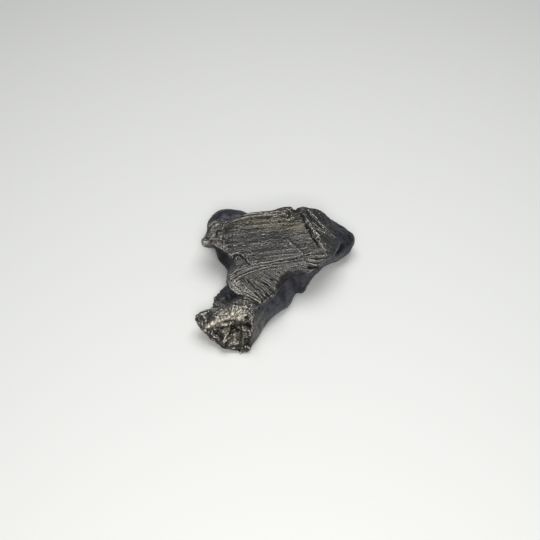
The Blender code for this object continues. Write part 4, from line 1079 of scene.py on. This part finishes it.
# %% Crumbs, fibres and pleats of the break
def break_relief(at):
    """Crumbs on the face, pits on the rest of the front, fibres along the crest and pleats in the fan."""
    points = at.points
    crumbs = 0.16 * noise(points, 0.95, 73) + 0.14 * noise(points, 0.44, 74)
    crumbs -= 0.18 * sharp_ridges(points, 1.1, 75)
    pitted = 0.14 * noise(points, 1.1, 84) - 0.22 * smooth(0.22, 0.5, noise(points, 0.5, 85))
    pitted += 0.08 * noise(points, 0.40, 88)
    pitted *= (1 - 0.8 * at.fan) * (1 - 0.7 * at.torn)
    ravel = at.torn_along + 0.5 * noise(points, 1.3, 93)
    fibres = 0.17 * noise(flat(ravel / 0.36, at.torn_gap / 1.6), 1.0, 76) + 0.12 * noise(points, 0.9, 94)
    fibres += 0.07 * noise(points, 0.45, 86)
    rays = flat(at.turn * 5.0 + 0.7 * noise(points, 1.6, 32), at.reach / 3.2)
    folds = 0.14 * noise(rays, 1.0, 89) + 0.16 * noise(rays * 0.5, 1.0, 92) + 0.03 * noise(points, 0.6, 90)
    out = at.front * (1 - at.notch) * (0.8 * at.face * crumbs + (1 - at.face) * pitted)
    return out + at.torn * fibres + at.fan * folds


out += break_relief(at)
out += at.broken * (at.spikes - at.sunk * (1 - 0.6 * at.flank))
out += rim_relief(at)
moved = places + normals * out[:, None]
moved[:, 2] += up
print("moved along the normal, lowest and highest in mm:", out.min().round(2), out.max().round(2))

# %% [markdown]
# ## Standing on the table
# A stone touches the table in a few small places. Here there are three feet, each ground flat
# with an uneven outline, and everything else stays a little above the table.

# %% Flatten the feet
CLEARANCE = 0.45


def stand_on_feet(points):
    """Only the three feet reach the table; all else stays the clearance off it, and no point goes below."""
    reach = np.zeros(len(points))
    for foot_x, foot_y, radius in FEET:
        outline = radius * (1 + 0.28 * noise(points * (1, 1, 0), 2.3, 9))
        reach = np.maximum(reach, 1.3 - np.hypot(points[:, 0] - foot_x, points[:, 1] - foot_y) / outline)
    reach = np.clip(reach / 0.6, 0, 1)
    low = 1 - smooth(0.6, 1.6, points[:, 2])
    points[:, 2] = np.maximum(points[:, 2], CLEARANCE * (1 - reach) - 2 * reach) - 1.2 * reach * low
    points[:, 2] = np.maximum(points[:, 2], 0.0)
    return points


write_points(stone.data, stand_on_feet(moved))
places, normals = read_points(stone.data)
print("after the fine relief, in mm:", places.min(0).round(2), places.max(0).round(2))

# %% [markdown]
# ## Worn and lit edges, sooty and shaded hollows
# What stands proud is made brighter, partly as polish from handling and partly as a painted
# highlight. What lies low is made darker, partly as dark oxide and partly as painted shade. Both
# come from one measurement: how far a point stands out from the mean of the skin round it. A short
# mean finds single lines, and a longer one finds folds and hollows.

# %% Measure what stands proud
def stands_proud(places, normals, ends, rounds):
    """The place less its mean over a few rounds of neighbours, along the normal, in millimetres."""
    return np.einsum("ij,ij->i", places - settle(places, ends, rounds), normals)


ends = read_edges(stone.data)
print("sharpest ridge, in mm:", stands_proud(places, normals, ends, 4).max().round(3))

# %% [markdown]
# ## How worn and lit, how sooty and shaded
# Wear and highlight is bright, and soot and shade is dark. Each is a sum of what stands proud or lies
# low, and of the marks drawn before. The drawn lips and rims are partly painted highlights. Zones
# that nothing could rub, such as the face of the break, get less wear and highlight. The crest of
# fibres gets more, as a painted highlight along its ridge, and the tip of the lobe gets a painted
# glint. Soot and painted shade gather in cracks and in pockets. Painted shade also lies under the
# lobe's overhang, in the notch, in the recess behind the crest and where the edge rolled over.

# %% How worn and lit each point is
# Middle of a painted glint on the lobe's tip.
LOBE_TIP_GLINT = (-18.9, 7.2, 9.5)


def wear_and_highlight_of(at, near, far):
    """Heights above the mean, less in sheltered zones, plus lips, rims, torn crest, lobe tip: partly painted
    highlight.
    """
    # Ridges are brightened, partly as polish and partly as painted highlight.
    wear_and_highlight = (smooth(0.006, 0.05, near) * 0.8 + smooth(0.06, 0.40, far) * 0.35) * (0.15 + 0.85 * at.bare)
    wear_and_highlight *= (1 - 0.72 * at.lobe) * (1 - 0.7 * at.face) * (1 - 0.3 * at.fan) * (1 - 0.7 * at.notch)
    # Drawn lips and rims are brightened, partly as painted highlights on lit edges.
    drawn = 2.4 * at.raised * at.on_plate + 1.3 * at.spikes * at.broken * (1 - 0.8 * at.flank)
    wear_and_highlight += drawn * (0.6 + 0.6 * noise(at.points, 0.6, 91))
    wear_and_highlight *= (1 - 0.4 * at.sheared * (1 - at.facet) * (1 - at.ragged)) * (1 + 0.5 * at.ragged)
    wear_and_highlight *= 1 - 0.8 * smooth(13.0, 14.6, at.x)
    wear_and_highlight += 0.08 * at.calm
    # A painted highlight along the torn crest, where its ridge catches the light.
    wear_and_highlight += 0.55 * at.front * smooth(0.42, 0.14, at.torn_gap + 0.5 * at.wander)
    # A painted glint on the tip of the lobe.
    return wear_and_highlight + 0.24 * at.lobe * smooth(0.0, 0.7, bump_at(at.points, LOBE_TIP_GLINT, (1.7, 1.3, 1.5)))


# The lobe's bright tip is a painted glint.
print("the lobe's rubbed tip lies at, in mm:", LOBE_TIP_GLINT)

# %% How sooty and shaded each point is
# Each row: path along the floor of a deep hollow, reach of the painted shade.
SHADED_HOLLOWS = [([(15.9, 7.3, 5.8), (16.7, 8.0, 5.9), (17.7, 8.9, 6.3)], 0.75),
          ([(-18.6, 10.8, 8.8), (-17.9, 12.8, 8.6), (-16.9, 13.9, 9.0)], 0.35)]


def soot_and_shade_of(at, near, far):
    """Both depths below the mean, plus cracks and pockets, less on fibres, plus painted shade in sheltered
    zones.
    """
    # Hollows, cracks and pockets are darkened, partly as oxide and partly as painted shade.
    soot_and_shade = smooth(-0.006, -0.06, near) * 0.6 + smooth(-0.05, -0.40, far) * 0.7
    soot_and_shade += (2.0 + 1.2 * at.lobe) * at.cut * at.on_plate + 0.8 * at.sunk * at.leg
    soot_and_shade *= 1 - 0.85 * np.clip(2.5 * at.spikes * at.broken, 0, 1)
    soot_and_shade *= 1 - 0.7 * at.torn
    # Painted shade on the rolled edge at the front right and in the notch under the plate.
    soot_and_shade += 0.55 * smooth(0.1, 0.8, at.rolled + 0.5 * at.wander) + 0.35 * at.notch
    # Painted shade under the lobe and in the recess behind the crest; the step's corner a little darker.
    soot_and_shade += 0.9 * at.shade + 0.10 * at.corner
    for path, reach in SHADED_HOLLOWS:
        soot_and_shade += 1.3 * np.exp(-(gap_in_space(path, at.points)[0] / reach) ** 2)
    return soot_and_shade


# Hollows with painted shade along their floors:
print("sooted hollows:", len(SHADED_HOLLOWS))

# %% [markdown]
# ## Masks for the material
# A material can't call these functions, but it can read numbers that are stored at the points. So
# each mask is stored once under a name, together with the grain as a vector. This comes last,
# after the mesh is thinned, because thinning moves the points.

# %% Store the masks
# Cracks are widened for their dark band, which is partly soot and partly painted shade.
CRACK_DARK_SPREAD = 1.35


def put_attribute(mesh, name, values, kind="FLOAT"):
    """Store one number, or one vector, per point under a name that a material can read."""
    layer = mesh.attributes.new(name, kind, "POINT")
    layer.data.foreach_set("value" if kind == "FLOAT" else "vector", np.asarray(values, np.float32).ravel())


def paint(mesh):
    """All the masks that the material reads."""
    places, normals = read_points(mesh)
    ends = read_edges(mesh)
    at = zones(places, normals)
    at.bare = np.clip(at.sheared + at.lobe + at.front, 0, 1)
    near = stands_proud(places, normals, ends, 4)
    far = stands_proud(places, normals, ends, 24)
    at.cut, at.raised = marks(at, CRACK_DARK_SPREAD)
    at.spikes, at.sunk = break_marks(places)
    masks = {
        "wear_and_highlight": np.clip(wear_and_highlight_of(at, near, far), 0, 1), "soot_and_shade": np.clip(soot_and_shade_of(at, near, far), 0, 1),
        "sheared": at.sheared, "lobe": np.maximum(at.lobe, at.ragged),
        "torn": np.maximum(at.torn, 0.45 * at.fan),
        "olive": at.olive, "facet": at.facet * (1 - 0.3 * at.calm), "bare": at.bare,
        "face": np.maximum(at.face, np.clip(1.5 * at.spikes * at.broken, 0, 1)),
        "flank": at.bleached, "leg": at.front}
    for name, values in masks.items():
        put_attribute(mesh, name, values)
    put_attribute(mesh, "grain", flat(at.along, at.across), "FLOAT_VECTOR")
    return {name: round(float(values.mean()), 3) for name, values in masks.items()}


# %% Thin the mesh and paint it
TRIANGLES = 190000
thin = stone.modifiers.new("thin", "DECIMATE")
thin.ratio = TRIANGLES / (2 * len(stone.data.polygons))
finish_modifiers(stone)
print("mean of each mask:", paint(stone.data))
places, _ = read_points(stone.data)
write_points(stone.data, (places + PLAN_SHIFT) * MM)
stone.data.polygons.foreach_set("use_smooth", np.ones(len(stone.data.polygons), bool))
print("triangles:", len(stone.data.polygons))

# %% [markdown]
# ## The iron's finish
# Sheared iron is dark grey and catches light in fine streaks that follow the scoring. A fresh
# break is paler and a little golden, the lobe is granular, and the melted skin is nearly black
# with a blue cast. Each could be a material of its own, but then the borders would be
# hard. One material holds all of these and mixes them by the masks, as one metal does.

# %% A small helper for building materials
class Nodes:
    """Adds nodes to a material and links them; a socket takes a number, a colour or a node's output."""

    def __init__(self, name):
        self.material = bpy.data.materials.new(name)
        self.material.use_nodes = True
        self.tree = self.material.node_tree
        self.shader = self.tree.nodes["Principled BSDF"]

    def feed(self, socket, value):
        """Link a node's output to the socket, or set the socket's own value."""
        if isinstance(value, bpy.types.NodeSocket):
            self.tree.links.new(value, socket)
        else:
            socket.default_value = value

    def add(self, kind, inputs=(), **settings):
        """A new node with its settings and what goes into its sockets."""
        node = self.tree.nodes.new(kind)
        for key, value in settings.items():
            setattr(node, key, value)
        for socket, value in dict(inputs).items():
            self.feed(node.inputs[socket], value)
        return node

    def mask(self, name):
        """The named attribute, as a number."""
        return self.add("ShaderNodeAttribute", attribute_name=name).outputs["Fac"]

    def math(self, operation, a, b=0.0, clamp=False):
        """One sum of two numbers."""
        return self.add("ShaderNodeMath", {0: a, 1: b}, operation=operation, use_clamp=clamp).outputs[0]

    def weigh(self, *terms):
        """The sum of each pattern times its weight; a term that is one number is added as it is."""
        total = None
        for term in terms:
            part = self.math("MULTIPLY", *term) if isinstance(term, tuple) else term
            total = part if total is None else self.math("ADD", total, part)
        return total

    def mix(self, factor, a, b):
        """Colour a where the factor is 0, colour b where it is 1."""
        node = self.add("ShaderNodeMix", data_type="RGBA")
        for name, value in (("Factor_Float", factor), ("A_Color", a), ("B_Color", b)):
            self.feed(next(s for s in node.inputs if s.identifier == name), value)
        return next(s for s in node.outputs if s.identifier == "Result_Color")

    def ramp(self, value, low, high):
        """0 at low and 1 at high, straight between, held at the ends."""
        inputs = {"Value": value, "From Min": low, "From Max": high}
        return self.add("ShaderNodeMapRange", inputs, clamp=True).outputs["Result"]

    def stretched(self, vector, scale, detail=2.0, size=1.0):
        """Noise on a vector after scaling each of its axes."""
        placed = self.add("ShaderNodeMapping", {"Vector": vector, "Scale": scale}).outputs["Vector"]
        inputs = {"Vector": placed, "Scale": size, "Detail": detail}
        return self.add("ShaderNodeTexNoise", inputs).outputs["Fac"]


iron = Nodes("meteorite_iron")
print("iron starts with", len(iron.tree.nodes), "nodes")

# %% [markdown]
# ## Patterns in the iron
# Streaks are noise on the grain, squeezed along it, so they run with the scored lines. Mottle,
# speck and tint are noise on the object's own coordinates, at three sizes.

# %% Patterns
PER_METRE = 1000.0
object_place = iron.add("ShaderNodeTexCoord").outputs["Object"]
grain = iron.add("ShaderNodeAttribute", attribute_name="grain").outputs["Vector"]
fine_streaks = iron.stretched(grain, (0.12, 4.4, 1.0), 3.0)
broad_streaks = iron.stretched(grain, (0.10, 1.1, 1.0), 2.0)
mottle = iron.stretched(object_place, (PER_METRE * 0.7,) * 3, 4.0)
speck = iron.stretched(object_place, (PER_METRE * 3.0,) * 3, 3.0)
tint = iron.stretched(object_place, (PER_METRE * 0.35,) * 3, 2.0)
streaks = iron.weigh((fine_streaks, 0.45), (broad_streaks, 0.25), (speck, 0.3))
grit = iron.weigh((mottle, 0.55), (speck, 0.45))
fibre = iron.weigh((fine_streaks, 0.6), (speck, 0.4))
print("patterns made;", len(iron.tree.nodes), "nodes so far")

# %% [markdown]
# ## Finishes and their layers
# Every finish goes from a dark tone to a pale one as its pattern goes from low to high. The
# layers then cover one another by the masks: crust first, the sheared top over it, and the gilded
# fibres nearly last. Worn edges and painted highlights are bright metal. Soot, which is dull oxide,
# goes over all together with painted shade.

# %% Finishes
# Each row: pattern, where it is all dark, where it is all pale, dark tone, pale tone.
FINISHES = {
    "dark metal": (tint, 0.38, 0.62, (0.019, 0.018, 0.022), (0.022, 0.021, 0.019)),
    "pale metal": (tint, 0.38, 0.62, (0.112, 0.110, 0.112), (0.128, 0.123, 0.113)),
    "weathered": (streaks, 0.38, 0.62, (0.032, 0.029, 0.023), (0.18, 0.165, 0.130)),
    "rubbed": (streaks, 0.42, 0.62, (0.030, 0.030, 0.032), (0.24, 0.235, 0.23)),
    "crust": (grit, 0.38, 0.64, (0.036, 0.037, 0.051), (0.126, 0.129, 0.148)),
    "granular": (speck, 0.43, 0.58, (0.055, 0.052, 0.049), (0.33, 0.31, 0.287)),
    "bleached": (mottle, 0.35, 0.68, (0.066, 0.066, 0.064), (0.180, 0.178, 0.168)),
    "pitted": (speck, 0.36, 0.64, (0.034, 0.032, 0.032), (0.232, 0.219, 0.203)),
    "crumbly": (mottle, 0.42, 0.68, (0.014, 0.012, 0.011), (0.115, 0.104, 0.087)),
    "gilded": (fibre, 0.38, 0.60, (0.13, 0.112, 0.088), (0.82, 0.755, 0.63)),
}
finish = {name: iron.mix(iron.ramp(pattern, low, high), (*dark, 1), (*pale, 1))
          for name, (pattern, low, high, dark, pale) in FINISHES.items()}
print("finishes:", ", ".join(finish))

# %% Layers of colour
OLIVE_STRENGTH, WEAR_AND_HIGHLIGHT_STRENGTH, SOOT_AND_SHADE_STRENGTH = 0.8, 0.75, 0.88
torn, face, wear_and_highlight, soot_and_shade = (iron.mask(name) for name in ("torn", "face", "wear_and_highlight", "soot_and_shade"))
sheared = iron.mix(iron.ramp(streaks, 0.38, 0.66), finish["dark metal"], finish["pale metal"])
sheared = iron.mix(iron.math("MULTIPLY", iron.mask("olive"), OLIVE_STRENGTH), sheared, finish["weathered"])
sheared = iron.mix(iron.mask("facet"), sheared, finish["rubbed"])
colour = iron.mix(iron.mask("sheared"), finish["crust"], sheared)
for mask, name in ((iron.mask("lobe"), "granular"), (iron.mask("flank"), "bleached"),
                   (iron.mask("leg"), "pitted"), (face, "crumbly"), (torn, "gilded")):
    colour = iron.mix(mask, colour, finish[name])
bright = iron.mix(iron.math("MAXIMUM", torn, face), (0.62, 0.59, 0.54, 1), (0.80, 0.745, 0.65, 1))
# Worn edges and painted highlights turn to bright metal.
colour = iron.mix(iron.math("MULTIPLY", wear_and_highlight, WEAR_AND_HIGHLIGHT_STRENGTH), colour, bright)
# Soot and painted shade turn the colour nearly black.
colour = iron.mix(iron.math("MULTIPLY", soot_and_shade, SOOT_AND_SHADE_STRENGTH), colour, (0.010, 0.009, 0.011, 1))
print("colour layers done;", len(iron.tree.nodes), "nodes so far")

# %% [markdown]
# ## Sheen
# Bare metal is shiny and soot is not. Where soot and painted shade lie, the surface is rougher, less
# metallic and reflects less, so the painted shade takes away reflections too. Without that, a wall
# in painted shade would mirror the pale room and come out grey. A very low bump adds the grain that
# is too fine for the mesh.

# %% Roughness, metal and bump
BASE_ROUGHNESS = 0.40
BUMP_HEIGHT = 0.00014
dull = iron.math("MAXIMUM", iron.mask("lobe"), torn)
rough = iron.weigh((mottle, 0.24), iron.weigh((dull, 0.14), BASE_ROUGHNESS))
rough = iron.math("SUBTRACT", rough, iron.math("MULTIPLY", iron.mask("bare"), 0.15))
rough = iron.math("ADD", rough, iron.math("MULTIPLY", iron.math("MAXIMUM", soot_and_shade, face), 0.22), clamp=True)
height = iron.weigh((streaks, iron.mask("sheared")), (speck, 0.35))
bump = iron.add("ShaderNodeBump", {"Strength": 0.6, "Distance": BUMP_HEIGHT, "Height": height})
for socket, value in (("Base Color", colour), ("Roughness", rough), ("Normal", bump.outputs["Normal"]),
                      ("Metallic", iron.math("SUBTRACT", 0.92, iron.math("MULTIPLY", soot_and_shade, 0.75))),
                      ("Specular IOR Level", iron.math("SUBTRACT", 0.5, iron.math("MULTIPLY", soot_and_shade, 0.42)))):
    iron.feed(iron.shader.inputs[socket], value)
stone.data.materials.append(iron.material)
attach(stone, "root")
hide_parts("meteorite")
print("iron:", len(iron.tree.nodes), "nodes")

# %% [markdown]
# ## The table
# The stone stands on a plain pale table. Its tone is even, so that nothing competes with the iron.

# %% Table
HALF_SIDE = 0.9
JUST_BELOW = -2e-5
table_mesh = bpy.data.meshes.new("table")
corners = [(sx * HALF_SIDE, sy * HALF_SIDE, JUST_BELOW) for sx, sy in ((-1, -1), (1, -1), (1, 1), (-1, 1))]
table_mesh.from_pydata(corners, [], [(0, 1, 2, 3)])
table = bpy.data.objects.new("table", table_mesh)
bpy.context.scene.collection.objects.link(table)
paper = Nodes("pale_table")
paper.shader.inputs["Base Color"].default_value = (0.90, 0.902, 0.89, 1)
paper.shader.inputs["Roughness"].default_value = 0.75
table_mesh.materials.append(paper.material)
print("table side in m:", 2 * HALF_SIDE)

# %% [markdown]
# ## Light
# Metal shows what is round it. In a room that is dim at eye level and bright overhead, flat iron
# stays dark while every edge and scored line that tilts towards the lamp flashes. One large soft
# panel hangs above and a little behind the stone and faces forward. A smaller one in front lifts
# the walls and the face of the break, and the dim room fills the shadows.

# %% Room and panels
room = bpy.data.worlds.new("dim_room")
bpy.context.scene.world = room
room.use_nodes = True
room.node_tree.nodes["Background"].inputs["Color"].default_value = (0.90, 0.95, 1.0, 1)
room.node_tree.nodes["Background"].inputs["Strength"].default_value = 0.12


def panel(name, place, aim, size, power, colour):
    """A square soft light at a place, turned to face its aim."""
    light = bpy.data.lights.new(name, "AREA")
    light.energy = power
    light.size = size
    light.color = colour
    thing = bpy.data.objects.new(name, light)
    thing.location = place
    thing.rotation_euler = (Vector(aim) - Vector(place)).to_track_quat("-Z", "Y").to_euler()
    bpy.context.scene.collection.objects.link(thing)
    return thing


overhead = panel("overhead", place=(0.01, 0.05, 0.32), aim=(-0.01, -0.12, 0), size=0.25, power=0.705,
                 colour=(0.99, 0.995, 0.98))
front = panel("front", place=(0.0, -0.22, 0.22), aim=(0, -0.12, 0), size=0.12, power=0.43,
              colour=(0.99, 0.99, 0.95))
print("panels:", overhead.name, "and", front.name)

# %% [markdown]
# ## Camera
# The camera looks down at fifty degrees from the front, from a quarter of a metre away, as when
# one picks the stone out of a tray. A fairly long lens keeps its outline undistorted.

# %% Camera
AIM = np.array([-1.85, 0.6, 6.0]) * MM
ELEVATION = np.radians(50)
DISTANCE = 0.25
SENSOR_MM, LENS_MM = 36, 64.1
view_line = np.array([0, np.cos(ELEVATION), -np.sin(ELEVATION)])
lens = bpy.data.cameras.new("camera")
lens.sensor_width = SENSOR_MM
lens.lens = LENS_MM
lens.clip_start = 0.01
camera = bpy.data.objects.new("camera", lens)
camera.location = AIM - view_line * DISTANCE
camera.rotation_euler = Vector(view_line).to_track_quat("-Z", "Y").to_euler()
bpy.context.scene.collection.objects.link(camera)
bpy.context.scene.camera = camera
bpy.context.scene.view_settings.view_transform = "Standard"
print("camera at", [round(v, 3) for v in camera.location])
